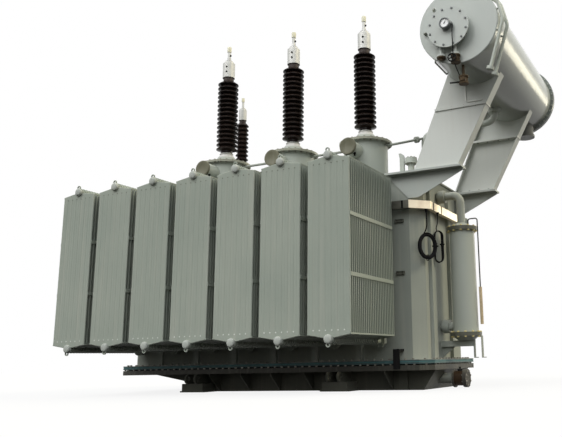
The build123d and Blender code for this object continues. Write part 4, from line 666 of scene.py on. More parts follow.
def tie_band(centre, axis, inner):
    """Flat band: a small square section carried round the bundle's run."""
    outer = inner + 0.004
    section = [(inner, -0.006), (outer, -0.006), (outer, 0.006), (inner, 0.006), (inner, -0.006)]
    return turned(section, centre, axis, 20)


def coil_ties():
    """Bands round the right side and the bottom of the coil."""
    right_side = COIL_CENTRE + COIL_HALF_WIDTH * HANG_ALONG
    bottom = COIL_CENTRE - COIL_HALF_HEIGHT * np.array(UP)
    return join([tie_band(right_side, UP, inner=0.036), tie_band(bottom, HANG_ALONG, inner=0.036)])


def hank_ties():
    """Bands round both legs of the hank."""
    middle = HANK_CENTRE + 0.03 * np.array(UP)
    return join([tie_band(middle + side * HANK_FOLD * HANG_ALONG, UP, inner=0.027) for side in SIDES])


def cable_gland(exit_point, diameter):
    """Strain relief under the trunking: a collar that tapers down to the cable, carried round its axis."""
    cable = diameter / 2
    profile = [(0.0, -0.003), (cable + 0.013, -0.003), (cable + 0.013, 0.009), (cable + 0.008, 0.011),
               (cable + 0.006, 0.024), (cable + 0.002, 0.044), (0.0, 0.044)]
    return turned(profile, exit_point, DOWN, segments=20)


# Pieces on the radiators
def fluted_face(bank_x, side):
    """Outer sheet of a panel: across the width, low channels with a narrow valley between each two and a fine
    line along each; along the height, both fade out at a level row inside each gabled end; the bevelled rim
    closes on the panel behind."""
    across = np.linspace(-0.5, 0.5, SHEET_COLUMNS)
    near_end = np.concatenate([[0.0, RIM_SHARE_ALONG, 0.015], np.linspace(0.028, 0.070, 8)])
    along = np.concatenate([near_end, [0.25, 0.5, 0.75], 1.0 - near_end[::-1]])
    from_valley = np.abs(np.mod(FLUTES * (across + 0.5) + 0.5, 1.0) - 0.5)
    valley = np.clip(1.0 - from_valley / VALLEY_HALF_SHARE, 0.0, 1.0) * (np.abs(across) < VALLEY_LIMIT_SHARE)
    line = np.clip(1.0 - np.abs(from_valley - 0.5) / LINE_HALF_SHARE, 0.0, 1.0)
    line = LINE_DEPTH_SHARE * line * (np.abs(across) < LINE_LIMIT_SHARE)
    rim_along = np.minimum(along, 1 - along) / RIM_SHARE_ALONG
    rim_across = (0.5 - np.abs(across)) / RIM_SHARE_ACROSS
    rim = np.clip(np.minimum(rim_along[:, None], rim_across[None]), 0.0, 1.0)
    drop = SHOULDER_DROP * 2.0 * np.abs(across)
    low = HEADER_LOW_Z + drop
    high = HEADER_HIGH_Z - drop
    height = low[None] + (high - low)[None] * along[:, None]
    inside = np.minimum(height - HEADER_LOW_Z, HEADER_HIGH_Z - height) - SHOULDER_DROP - WELD_ROW_INSET
    fade = np.clip((inside - FADE_START) / FADE_RUN, 0.0, 1.0)
    fade = fade * fade * (3 - 2 * fade)
    proud = rim * (SHEET_PROUD - CHANNEL_DEPTH * fade * (valley + line)[None])
    x = np.broadcast_to(bank_x + RAD_WIDTH * across, proud.shape)
    face = RAD_FACE - SHEET_SINK
    front = np.stack([x, side * (face + proud), height], axis=-1)
    back = np.stack([x, np.full(x.shape, side * face), height], axis=-1)[:, ::-1]
    points = np.concatenate([front, back], axis=1)
    return points.reshape(-1, 3), grid_faces(len(along), points.shape[1], wrap_columns=True)


def weld_dot():
    """Low round dot of unit radius: a domed half profile carried round its axis."""
    return turned([(1.0, 0.0), (0.8, 0.22), (0.4, 0.36), (0.0, 0.4)], ORIGIN, UP, segments=8)


def spot_welds(level, inward):
    """Spot welds at one level of all radiators: a level row inside the gabled end of each outer sheet, with a
    dot at the end of each valley."""
    across = RAD_WIDTH * (np.arange(1, FLUTES) / FLUTES - 0.5)
    z = level + inward * (SHOULDER_DROP + WELD_ROW_INSET)
    rows = [(bank_x + shift, side, z) for bank_x in BANK_XS for side in SIDES for shift in across]
    places = [(x, side * (RAD_FACE + SPOT_PROUD), z) for x, side, z in rows]
    return scatter(weld_dot(), places, [(0, side, 0) for x, side, z in rows], SPOT_RADIUS)


def header_caps():
    """Shallow domed ends on the radiator headers: a curved half profile carried round each header's axis."""
    dome = [(0.0, 0.007), (0.022, 0.006), (0.038, 0.003), (0.047, -0.003), (0.050, -0.010), (0.050, -0.032),
            (0.0, -0.032)]
    face = RAD_FACE + HEADER_CAP_OUT
    return join([turned(dome, (bank_x, side * face, level), (0, side, 0), segments=28)
                 for bank_x, side, level in HEADER_ENDS])


def valve_levers():
    """Square spindle with a flat lever on each radiator valve: two prisms, in units of the lever's size."""
    square = [(-1.1, -1.1), (1.1, -1.1), (1.1, 1.1), (-1.1, 1.1)]
    blade = [(-1.0, -1.6), (11.0, -1.0), (11.6, 0.0), (11.0, 1.0), (-1.0, 1.6)]
    spindle = prism(square, ORIGIN, RIGHT, BACK, length=5.0)
    lever = join([spindle, prism(blade, (0, 0, 3.4), RIGHT, BACK, length=1.0)])
    places = [(bank_x, side * LEVER_Y, level + LEVER_ABOVE) for bank_x, side, level in HEADER_ENDS]
    return scatter(lever, places, [UP] * len(places), LEVER_UNIT)


# Bolts
def hex_bolt():
    """Bolt head on its washer, of unit washer radius: six-sided rings of falling radius, closed on top."""
    profile = [(1.0, 0.0), (1.0, 0.14), (0.86, 0.14), (0.86, 0.7), (0.66, 0.82), (0.0, 0.82)]
    return turned(profile, ORIGIN, UP, segments=6)


def bolt_row(places, axis, washer):
    """Row of bolts at given places, all along one axis."""
    count = len(places)
    axes = np.tile(np.asarray(axis, dtype=float), (count, 1))
    return np.asarray(places, dtype=float), axes, np.full(count, washer)


def bolt_ring(centre, axis, circle, count, washer):
    """Row of bolts evenly round a circle about an axis."""
    angle = 2.0 * pi * (np.arange(count) + 0.5) / count
    flat = circle * np.stack([np.cos(angle), np.sin(angle), np.zeros(count)], axis=-1)
    return bolt_row(flat @ square_frames([axis])[0] + np.asarray(centre, dtype=float), axis, washer)


def bolts(rows):
    """Bolts of several rows as one shape; a row is its places, axes and washer radii."""
    places, axes, washers = [np.concatenate(column) for column in zip(*rows)]
    return scatter(hex_bolt(), places, axes, washers)


def joint_corners(out):
    """Eight corners of the tank joint's chamfered outline, at a distance outside the tank's walls."""
    end_x = HALF_L + out
    side_y = HALF_W + out
    cut_x = end_x - TANK_CHAMFER
    cut_y = side_y - TANK_CHAMFER
    return np.array([(cut_x, -side_y), (end_x, -cut_y), (end_x, cut_y), (cut_x, side_y),
                     (-cut_x, side_y), (-end_x, cut_y), (-end_x, -cut_y), (-cut_x, -side_y)])


def joint_bolts(level, axis, out_share):
    """Row of bolts along the chamfered outline of the tank joint, evenly spaced on each straight side."""
    corners = joint_corners(FLANGE_OUT * out_share)
    places = []
    for start, stop in zip(corners, np.roll(corners, -1, axis=0)):
        count = max(int(np.linalg.norm(stop - start) / JOINT_BOLT_PITCH), 1)
        share = (np.arange(count) + 0.5) / count
        places.append(start + (stop - start) * share[:, None])
    flat = np.concatenate(places)
    return bolt_row(np.column_stack([flat, np.full(len(flat), level)]), axis, washer=0.018)


def painted_bolts():
    """Bolts that wear the tank's paint: bushing flanges, terminal lids, headers, drum and legs."""
    rows = []
    for bushing_x in HV_XS:
        flange = (bushing_x, HV_Y, TURRET_TOP + ADAPTER_FLANGE_THICK)
        lid = (bushing_x, -CT_BOX_FACE, CT_BOX_Z)
        rows.append(bolt_ring(flange, UP, circle=0.226, count=12, washer=0.014))
        rows.append(bolt_ring(lid, FRONT, circle=0.101, count=10, washer=0.007))
    for bank_x, side, level in HEADER_ENDS:
        flange = (bank_x, side * (VALVE_FACE + HEADER_FLANGE_THICK), level)
        rows.append(bolt_ring(flange, (0, side, 0), circle=0.066, count=6, washer=0.010))
    for y, axis in ((REAR_HIGH.y, BACK), (REAR_LOW.y - SHELL_FLANGE_THICK, FRONT)):
        rows.append(bolt_ring((CONS_X, y, CONS_Z), axis, circle=0.492, count=36, washer=0.014))
    for side in SIDES:
        for offset in (-0.05, 0.05):
            foot = [(x, side * LEG_MIDDLE_Y + offset, LEG_FOOT_TOP) for x in LEG_FOOT_BOLT_XS]
            rows.append(bolt_row(foot, UP, washer=0.015))
        joint_y, washer = (-LEG_FACE - 0.0075, 0.007) if side < 0 else (LEG_INNER_Y, 0.014)
        for level, axis in ((LEG_JOINT_TOP, UP), (LEG_JOINT_LOW, DOWN)):
            rows.append(bolt_row([(x, joint_y, level) for x in LEG_JOINT_BOLT_XS], axis, washer))
    return bolts(rows)


def steel_bolts():
    """Bare bolts: both faces of the tank joint, the drain valve, the relief nozzle and the turret flanges."""
    rows = [
        joint_bolts(FLANGE_HIGH.z, UP, out_share=0.66),
        joint_bolts(RIM_HIGH.z - LOWER_FLANGE_THICK, DOWN, out_share=0.84),
        bolt_ring((DRAIN_HIGH.x, DRAIN_Y, DRAIN_Z), RIGHT, circle=0.088, count=8, washer=0.014),
        bolt_ring((DRAIN_BODY_HIGH, DRAIN_Y, DRAIN_Z), LEFT, circle=0.099, count=8, washer=0.009),
        bolt_ring((DRAIN_PIPE_END, DRAIN_Y, DRAIN_Z), LEFT, circle=0.086, count=8, washer=0.014),
        bolt_ring((*RELIEF_AT, COVER_TOP + 0.142), DOWN, circle=0.066, count=8, washer=0.012),
        bolt_ring((*RELIEF_AT, COVER_TOP + 0.218), UP, circle=0.056, count=8, washer=0.013),
    ]
    head_circle = TURRET_HEAD_RADIUS - 0.028
    foot_circle = TURRET_FOOT_RADIUS - 0.035
    for bushing_x in HV_XS:
        for level, axis, circle in ((TURRET_TOP, UP, head_circle),
                                    (TURRET_TOP - TURRET_FLANGE_THICK, DOWN, head_circle),
                                    (COVER_TOP + TURRET_FLANGE_THICK, UP, foot_circle)):
            rows.append(bolt_ring((bushing_x, HV_Y, level), axis, circle, count=24, washer=0.018))
    return bolts(rows)


def manhole_bolts():
    """Dark bolts round the manhole disc."""
    disc = (MANHOLE_X, MANHOLE_FACE, MANHOLE_Z)
    return bolts([bolt_ring(disc, FRONT, circle=0.222, count=12, washer=0.014)])


def filter_bolts():
    """Yellow passivated bolts through both flanges of the filter, heads above and nuts below."""
    faces = [(level, axis) for low, high in FILTER_FLANGES[::-1] for level, axis in ((high, UP), (low, DOWN))]
    return bolts([bolt_ring((FILTER_X, FILTER_Y, level), axis, circle=0.180, count=12, washer=0.018)
                  for level, axis in faces])


# Small fittings
def groove_shade_strip():
    """Black strip in the groove under the lower flange, as painted shade that darkens the groove: a square
    section carried round the tank.
    """
    low = RIM_HIGH.z - LOWER_FLANGE_THICK - 0.018
    high = low + 0.020
    section = [(0.50, low), (0.62, low), (0.62, high), (0.50, high)]
    lines = [np.insert(joint_corners(FLANGE_OUT * out_share), 2, level, axis=1)
             for out_share, level in section]
    rings = np.stack(lines, axis=1)
    points = np.concatenate([rings, rings[:1]])
    return points.reshape(-1, 3), grid_faces(len(points), len(section), wrap_columns=True)


def weld_beads():
    """Round beads in the corners where round bodies meet plates: a small circle carried round each joint."""
    steps = 65
    paths = [ring_path((bushing_x, HV_Y, level), RIGHT, BACK, TURRET_BODY_RADIUS, steps)
             for bushing_x in HV_XS
             for level in (COVER_TOP + TURRET_FLANGE_THICK + 0.003, TURRET_TOP - TURRET_FLANGE_THICK - 0.003)]
    beads = [tube(path, radius=0.008, sides=6) for path in paths]
    manhole = ring_path((MANHOLE_X, CONS_LOW.y - 0.002, MANHOLE_Z), RIGHT, UP, 0.213, steps)
    return join(beads + [tube(manhole, radius=0.007, sides=6)])


def gauge_bezel():
    """Ring round the dial and a knob on its right: rounded sections carried round their axes."""
    ring = [(0.76, -0.004), (0.76, 0.006), (0.82, 0.014), (0.94, 0.014), (1.03, 0.006), (1.03, -0.012),
            (0.76, -0.012), (0.76, -0.004)]
    ring = np.array(ring) * [GAUGE_RADIUS, 1.0]
    knob = [(0.0, 0.0), (0.020, 0.0), (0.020, 0.018), (0.016, 0.022), (0.0, 0.022)]
    knob_at = (GAUGE_X + 0.97 * GAUGE_RADIUS, GAUGE_LOW.y + 0.026, KNOB_Z)
    return join([turned(ring, (GAUGE_X, GAUGE_LOW.y, GAUGE_Z), FRONT, segments=48),
                 turned(knob, knob_at, RIGHT, segments=16)])


def gauge_dial():
    """White dished disc inside the bezel: a shallow half profile carried round the gauge's axis."""
    dish = np.array([(0.0, 0.003), (0.4, 0.003), (0.74, 0.004), (0.78, 0.002)]) * [GAUGE_RADIUS, 1.0]
    return turned(dish, (GAUGE_X, GAUGE_LOW.y, GAUGE_Z), FRONT, segments=48)


def gauge_mark(angle, outline, height, thick):
    """One thin raised mark on the dial: an outline set along a direction from the centre."""
    out = np.array([cos(angle), 0.0, sin(angle)])
    side = np.array([-sin(angle), 0.0, cos(angle)])
    return prism(GAUGE_RADIUS * np.array(outline), (GAUGE_X, GAUGE_LOW.y - height, GAUGE_Z), out, side, thick)


def gauge_marks():
    """Scale marks round the dial and a tapering pointer."""
    tick = [(0.56, -0.020), (0.69, -0.020), (0.69, 0.020), (0.56, 0.020)]
    pointer = [(-0.18, -0.05), (0.58, -0.018), (0.58, 0.018), (-0.18, 0.05)]
    marks = [gauge_mark(angle, tick, 0.0045, 0.001) for angle in np.radians(np.linspace(-40, 220, 11))]
    return join(marks + [gauge_mark(radians(55), pointer, 0.007, 0.002)])


def gauge_conduit():
    """Thin black conduit: a circle carried from the gauge's knob straight down past the nozzles, then back
    under the drum to the leg."""
    x = GAUGE_X + GAUGE_RADIUS + 0.012
    y = GAUGE_LOW.y + 0.030
    route = [(x + 0.006, y, KNOB_Z), (x + 0.008, y, GAUGE_Z - 0.040), (x, y, GAUGE_Z - 0.09), (x, y, 3.74),
             (x, y + 0.01, 3.66), (x - 0.02, y + 0.12, 3.600), (x - 0.06, CONS_LOW.y + 0.30, 3.575),
             (2.945, -0.93, 3.600), (LEG_CONDUIT_X, -0.86, 3.650), (LEG_CONDUIT_X, LEG_CONDUIT_Y, 3.690)]
    return tube(smooth_path(route, samples=10), CONDUIT_RADIUS, sides=8)


def terminal_conduits():
    """Slack black conduits between the round terminal boxes: each hangs in a shallow parabola."""
    share = np.linspace(0.0, 1.0, 9)
    y = np.full(len(share), CT_GLAND_Y)
    z = CT_BOX_Z - 0.105 - CT_CONDUIT_SAG * 4 * share * (1 - share)
    runs = []
    for left, right in zip(HV_XS[:-1], HV_XS[1:]):
        x = left + CT_GLAND_OFFSET + (right - left - 2 * CT_GLAND_OFFSET) * share
        runs.append(tube(smooth_path(np.column_stack([x, y, z]), samples=6), radius=0.008, sides=8))
    return join(runs)


def terminal_glands():
    """Stepped cable glands under each terminal box."""
    gland = [(0.0, 0.0), (0.018, 0.0), (0.018, 0.022), (0.013, 0.024), (0.013, 0.045), (0.0, 0.045)]
    top = CT_BOX_Z - np.sqrt(CT_BOX_RADIUS ** 2 - CT_GLAND_OFFSET ** 2) + 0.004
    return join([turned(gland, (bushing_x + side * CT_GLAND_OFFSET, CT_GLAND_Y, top), DOWN, segments=12)
                 for bushing_x in HV_XS for side in SIDES])


def wall_cleats():
    """Small channel cleats on the front wall beside the last radiator, open to the front."""
    channel = [(-0.055, 0.0), (0.055, 0.0), (0.055, 0.030), (0.043, 0.030), (0.043, 0.008), (-0.043, 0.008),
               (-0.043, 0.030), (-0.055, 0.030)]
    return join([prism(channel, (CLEAT_X, -HALF_W, level), RIGHT, FRONT, -CLEAT_HEIGHT)
                 for level in CLEAT_LEVELS])


def tray_straps():
    """Dark joint straps across the trunking: thin rounded plates standing just proud of its lid."""
    lid = [(-0.014, -0.002), (-0.012, 0.0025), (0.012, 0.0025), (0.014, -0.002)]
    drop = TRAY_LOW.z - TRAY_HIGH.z
    straps = [prism(lid, (x, TRAY_LOW.y, TRAY_LOW.z), RIGHT, FRONT, drop) for x in FRONT_STRAP_XS]
    straps += [prism(lid, (TRAY_HIGH.x, y, TRAY_LOW.z), BACK, RIGHT, drop) for y in END_STRAP_YS]
    return join(straps)


def drum_lugs():
    """Small lifting lugs on the drum: rounded plates, two on the front end and two larger ones on top."""
    plate = np.array([(-0.020, 0.0), (0.020, 0.0), (0.020, 0.034), (0.012, 0.046), (-0.012, 0.046),
                      (-0.020, 0.034)])
    sloped = (0.4, 0, 0.9165)
    thick = 0.012
    lugs = [prism(plate, (CONS_X - 0.28, CONS_LOW.y, CONS_Z + 0.24), sloped, FRONT, thick),
            prism(plate, (CONS_X - 0.39, CONS_LOW.y, CONS_Z - 0.03), RIGHT, FRONT, thick)]
    top = CONS_Z + CONS_RADIUS - 0.004
    for y in (CONS_LOW.y + 0.5, CONS_HIGH.y - 0.5):
        lugs.append(prism(3.0 * plate, (CONS_X, y, top), BACK, UP, length=0.020))
    return join(lugs)


def valve_handles():
    """Dark lever on the drain cock of the drum, a handwheel on the nozzle valve and a key on the base drain:
    circles carried along their paths, and a stepped profile carried round the key's axis."""
    lever_path = [(COCK_X - 0.02, COCK_Y, COCK_Z + 0.035), (COCK_X - 0.08, COCK_Y - 0.01, COCK_Z + 0.034),
                  (COCK_X - 0.16, COCK_Y - 0.02, COCK_Z + 0.036)]
    lever = tube(smooth_path(lever_path, samples=6), radius=0.011, sides=8)
    wheel_at = np.array([RIGHT_NOZZLE_X - 0.02, NOZZLE_Y - 0.075, NOZZLE_Z - 0.055])
    wheel_radius = 0.045
    rim = tube(ring_path(wheel_at, RIGHT, UP, wheel_radius, 33), radius=0.008, sides=6)
    stem = tube(wheel_at + np.outer([0.0, 0.02, 0.05], BACK), radius=0.010, sides=8)
    reach = [-wheel_radius, 0.0, wheel_radius]
    spokes = [tube(wheel_at + np.outer(reach, [cos(turn), 0, sin(turn)]), radius=0.006, sides=6)
              for turn in (0.3, 1.87)]
    key_profile = [(0.0, 0.0), (0.030, 0.0), (0.030, 0.022), (0.014, 0.026), (0.014, 0.050), (0.0, 0.050)]
    key_at = ((DRAIN_BODY_LOW + DRAIN_BODY_HIGH) / 2, DRAIN_Y, DRAIN_Z + 0.086)
    return join([lever, rim, stem, turned(key_profile, key_at, UP, segments=12)] + spokes)


def valve_flanges():
    """Bolted flanges above and below both drum valves, a bonnet on each, and a dark blank on the left nozzle:
    stepped profiles carried round each axis."""
    thick = 0.018
    plate = [(0.0, 0.0), (0.055, 0.0), (0.057, 0.003), (0.057, 0.015), (0.055, thick), (0.0, thick)]
    bonnet = [(0.0, 0.020), (0.036, 0.020), (0.036, 0.050), (0.026, 0.054), (0.020, 0.070), (0.0, 0.070)]
    blank = [(0.0, -0.004), (0.053, -0.004), (0.053, 0.012), (0.030, 0.014), (0.024, 0.030), (0.0, 0.030)]
    shapes = [turned(blank, (LEFT_NOZZLE_X, NOZZLE_Y, NOZZLE_Z), DOWN, segments=24)]
    for x, y, top in ((RIGHT_NOZZLE_X, NOZZLE_Y, NOZZLE_Z), (COCK_X, COCK_Y, COCK_Z + DRUM_VALVE_HEIGHT)):
        for level, turn in ((top - 0.001, -1), (top - DRUM_VALVE_HEIGHT + 0.001, 1)):
            axis = (0, 0, turn)
            shapes.append(turned(plate, (x, y, level), axis, segments=24))
            face = (x, y, level + turn * thick)
            shapes.append(bolts([bolt_ring(face, axis, circle=0.049, count=6, washer=0.009)]))
        shapes.append(turned(bonnet, (x, y, top - 0.055), FRONT, segments=20))
    return join(shapes)


def on_bushings(profile, y, z, axis, segments):
    """One half profile carried round an axis at each line bushing."""
    return [turned(profile, (bushing_x, y, z), axis, segments) for bushing_x in HV_XS]


def terminal_lids():
    """Round lids on the terminal boxes: a rim, a step and a shallow dish carried round the box's axis."""
    lid = [(0.0, 0.006), (0.070, 0.006), (0.080, 0.010), (0.108, 0.010), (0.115, 0.005), (0.115, -0.023),
           (CT_BOX_RADIUS, -0.023)]
    return join(on_bushings(lid, -CT_BOX_FACE, CT_BOX_Z, FRONT, segments=44))


def bushing_seals():
    """Thin red-brown seal between each turret and its bushing flange: a flat section carried round."""
    inner = 0.200
    outer = ADAPTER_FLANGE_RADIUS + 0.003
    ring = [(inner, 0.0005), (outer, 0.0005), (outer, 0.006), (inner, 0.006), (inner, 0.0005)]
    return join(on_bushings(ring, HV_Y, TURRET_TOP, UP, segments=56))


def clamp_rings():
    """Rounded metal rings that clamp the foot of each porcelain."""
    ring = [(0.080, -0.016), (0.097, -0.016), (0.101, -0.008), (0.097, 0.0), (0.080, 0.0), (0.080, -0.016)]
    return join(on_bushings(ring, HV_Y, ADAPTER_TOP, UP, segments=44))


def terminal_clamps():
    """Flanged clamp at the foot of each terminal and a shoulder on each head; the neutral's is smaller."""
    clamp = np.array([(0.0, -0.004), (0.078, -0.004), (0.074, 0.010), (0.056, 0.018), (0.056, 0.034),
                      (0.046, 0.040), (0.030, 0.056), (0.027, 0.085), (0.0, 0.085)])
    neutral = turned(0.7 * clamp, (*NEUTRAL_AT, NEUTRAL_CAP_TOP), UP, segments=32)
    return join(on_bushings(clamp, HV_Y, HV_CAP_TOP, UP, segments=32) + [neutral])


def terminal_tips():
    """Pale protective sleeve over the end of each terminal; the neutral's is smaller."""
    sleeve = np.array([(0.022, -0.085), (0.031, -0.080), (0.033, -0.010), (0.028, 0.003), (0.0, 0.004)])
    neutral = turned(0.75 * sleeve, (*NEUTRAL_AT, NEUTRAL_TERMINAL_TOP), UP, segments=24)
    return join(on_bushings(sleeve, HV_Y, HV_TERMINAL_TOP, UP, segments=24) + [neutral])


def head_screws():
    """Two dark screws in the front and back of each head, and a nut on the side of each terminal."""
    levels = HV_CAP_LOW + HEAD_SCREW_SHARES * (HV_CAP_TOP - HV_CAP_LOW)
    rows = []
    for bushing_x in HV_XS:
        for turn in np.radians(HEAD_SCREW_TURNS):
            out = np.array([cos(turn), sin(turn), 0.0])
            places = [HV_HEAD_RADIUS * out + (bushing_x, HV_Y, level) for level in levels]
            rows.append(bolt_row(places, out, washer=0.016))
        rows.append(bolt_row([(bushing_x + 0.022, HV_Y, HV_CAP_TOP + 0.125)], RIGHT, washer=0.017))
    return bolts(rows)


def pan_gussets():
    """Upright plates under the rim, square to the pan: each a wedge, as deep as the rim above and shallow at
    the sole; and one flat pad on each side."""
    top = RIM_LOW.z + 0.002
    sole = 0.004
    inner = PAN_HALF_W - 0.010
    outer = RIM_HIGH.y - 0.012
    wedge = np.array([(inner, top), (outer, top), (outer, top - 0.030), (PAN_HALF_W + 0.014, sole),
                      (inner, sole)])
    pad = [(-0.055, 0.006), (0.055, 0.006), (0.055, top), (-0.055, top)]
    shapes = []
    for side in SIDES:
        shapes += [prism(wedge * [side, 1.0], (x, 0, 0), BACK, UP, GUSSET_THICK) for x in GUSSET_XS]
        shapes.append(prism(pad, (PAD_X, side * (PAN_HALF_W - 0.005), 0), RIGHT, UP, -side * PAD_DEEP))
    return join(shapes)


def leg_face_plates():
    """Outer face of each leg: straight lines from foot to head, each ended where it meets the drum's circle;
    an outer and an inner sheet make the plate, and they close on each other at both ends."""
    lines = 25
    share = np.linspace(0.004, 0.996, lines)
    along = np.concatenate([[0.0], np.linspace(0.0, 1.0, 7), [1.0]])
    foot = np.column_stack([LEG_FOOT_XS[0] + np.diff(LEG_FOOT_XS) * share, np.full(lines, LEG_LOW)])
    head = np.column_stack([LEG_HEAD_XS[0] + np.diff(LEG_HEAD_XS) * share, np.full(lines, LEG_HIGH)])
    run = head - foot
    from_axis = foot - [CONS_X, CONS_Z]
    square = (run * run).sum(axis=1)
    half = (run * from_axis).sum(axis=1)
    rest = (from_axis * from_axis).sum(axis=1) - CONS_RADIUS ** 2
    reach = (-half - np.sqrt(half * half - square * rest)) / square
    flat = foot[None] + along[:, None, None] * (reach[:, None] * run)[None]
    inner = np.full(flat.shape[:2], LEG_FACE - FACE_PLATE_SINK)
    outer = inner + FACE_PLATE_THICK
    outer[[0, -1]] = inner[[0, -1]]
    plates = []
    for side in SIDES:
        sheets = [np.stack([flat[..., 0], side * depth, flat[..., 1]], axis=-1) for depth in (outer, inner)]
        points = np.concatenate([sheets[0], sheets[1][:, ::-1]], axis=1)
        plates.append((points.reshape(-1, 3), grid_faces(len(along), points.shape[1], wrap_columns=True)))
    return join(plates)


def leg_conduit():
    """Thin pale conduit: a circle carried down the face of the front leg and along its joint."""
    route = [(2.930, 3.700), (2.930, 3.62), (2.930, 3.46), (2.934, 3.412), (2.985, 3.405), (3.130, 3.405)]
    path = smooth_path(np.insert(np.array(route), 1, LEG_CONDUIT_Y, axis=1), samples=8)
    return tube(path, CONDUIT_RADIUS, sides=8)


# Lights, floor and world
def add_sun(name, azimuth, elevation, energy, colour, spread):
    """Soft sun that shines from a compass direction (degrees from +X towards +Y) and height."""
    data = bpy.data.lights.new(name, "SUN")
    data.energy = energy
    data.color = colour
    data.angle = radians(spread)
    lamp = bpy.data.objects.new(name, data)
    source = Vector((cos(radians(azimuth)) * cos(radians(elevation)),
                     sin(radians(azimuth)) * cos(radians(elevation)), sin(radians(elevation))))
    lamp.rotation_euler = source.to_track_quat("Z", "Y").to_euler()
    scene.collection.objects.link(lamp)


def seen_ray(tree):
    """One for rays from the camera, for reflections and for rays through glass, and nought for light."""
    ray = tree.nodes.new("ShaderNodeLightPath")
    seen = ray.outputs["Is Camera Ray"]
    for kind in ("Is Glossy Ray", "Is Transmission Ray"):
        seen = combine(tree, "MAXIMUM", seen, ray.outputs[kind])
    return seen


def add_world():
    """White to the camera and in reflections; as light, a pale blue sky that dims towards a warm horizon."""
    world = bpy.data.worlds.new("studio")
    scene.world = world
    world.use_nodes = True
    tree = world.node_tree
    tree.nodes.clear()
    place = tree.nodes.new("ShaderNodeTexCoord")
    split = add_node(tree, "ShaderNodeSeparateXYZ", Vector=place.outputs["Generated"])
    height = remap(tree, split.outputs["Z"], -0.05, 0.7)
    fill = mix_colour(tree, height, (0.94, 0.92, 0.86, 1.0), (0.90, 0.96, 1.0, 1.0))
    level = remap(tree, height, 0.0, 1.0, HORIZON_STRENGTH, ZENITH_STRENGTH)
    light = add_node(tree, "ShaderNodeBackground", Color=fill, Strength=level)
    seen = add_node(tree, "ShaderNodeBackground", Color=(1.0, 1.0, 1.0, 1.0), Strength=1.0)
    mix_shaders(tree, seen_ray(tree), light, seen, "ShaderNodeOutputWorld")


def add_floor():
    """Large pale floor that keeps the object's shadow and is nearly white to the camera."""
    corners = FLOOR_REACH * np.array([(-1, -1, 0), (1, -1, 0), (1, 1, 0), (-1, 1, 0)])
    mesh = bpy.data.meshes.new("floor")
    mesh.from_pydata(corners.tolist(), [], [(0, 1, 2, 3)])
    floor = bpy.data.objects.new("floor", mesh)
    scene.collection.objects.link(floor)
    material = bpy.data.materials.new("pale_floor")
    material.use_nodes = True
    tree = material.node_tree
    tree.nodes.clear()
    seen = seen_ray(tree)
    matt = add_node(tree, "ShaderNodeBsdfDiffuse", Color=mix_colour(tree, seen, FLOOR_BOUNCE, FLOOR_SEEN))
    glow = add_node(tree, "ShaderNodeEmission", Color=(1.0, 1.0, 1.0, 1.0), Strength=1.0)
    mix_shaders(tree, combine(tree, "MULTIPLY", seen, FLOOR_GLOW), matt, glow, "ShaderNodeOutputMaterial")
    mesh.materials.append(material)


AGEING = weather_group()
GRAIN = grain_group()

# Paints and metals
TANK_PAINT = paint("tank_paint", (0.30, 0.318, 0.285), (0.345, 0.363, 0.325), rough=0.5, gloss=0.03)
FITTING_PAINT = paint("fitting_paint", (0.42, 0.45, 0.405), (0.465, 0.49, 0.44), streaks=0.2, rough=0.36)
FILTER_PAINT = banded(
    "filter_paint", "Z", [(FILTER_FLANGES[0][0] - EDGE_OVER, FILTER_FLANGES[0][1], FILTER_FLANGE_TONE),
                          (FILTER_FLANGES[1][0], FILTER_FLANGES[1][1] + EDGE_OVER, FILTER_FLANGE_TONE)],
    (0.38, 0.403, 0.36), rough=0.34, gloss=0.25)
PIPE_PAINT = paint("pipe_paint", (0.32, 0.34, 0.305), (0.36, 0.378, 0.338), streaks=0.2, rough=0.4)
RADIATOR_PAINT = paint("radiator_paint", (0.275, 0.306, 0.264), (0.316, 0.342, 0.295), streaks=0.25,
                       gloss=0.12)
DRUM_PAINT = drum_paint()
# Painted shade: the base pan and its gussets are much darker than the tank paint.
BASE_SHADE_PAINT = paint("base_painted_shade", (0.075, 0.077, 0.064), (0.105, 0.104, 0.085), gloss=0.05,
                   dust=(0.16, 0.15, 0.12))
# Darker than the tank paint: on the hauling feet this is painted shade; the wall cleats take it as their own
# dark colour.
FOOT_PAINT = paint("foot_paint", (0.115, 0.117, 0.098), (0.15, 0.15, 0.125), gloss=0.05,
                   dust=(0.18, 0.17, 0.14))
WELD_PAINT = paint("weld_paint", (0.30, 0.315, 0.275), (0.36, 0.365, 0.315), streaks=0.2)
# Painted shade and painted highlight: one weld paint in a darker copy for the upper dots and a lighter copy
# for the lower dots.
SHADED_SPOT_PAINT = paint("spot_weld_painted_shade", (0.15, 0.157, 0.132), (0.20, 0.205, 0.175), streaks=0.2, gloss=0.1)
LIT_SPOT_PAINT = paint("spot_weld_painted_highlight", (0.58, 0.60, 0.57), (0.64, 0.655, 0.62), streaks=0.1)
PORCELAIN = paint("porcelain_glaze", (0.012, 0.008, 0.007), (0.020, 0.013, 0.011), streaks=0.0,
                  dust_amount=0.02, rough=0.16, bump=0.02, gloss=0.1)
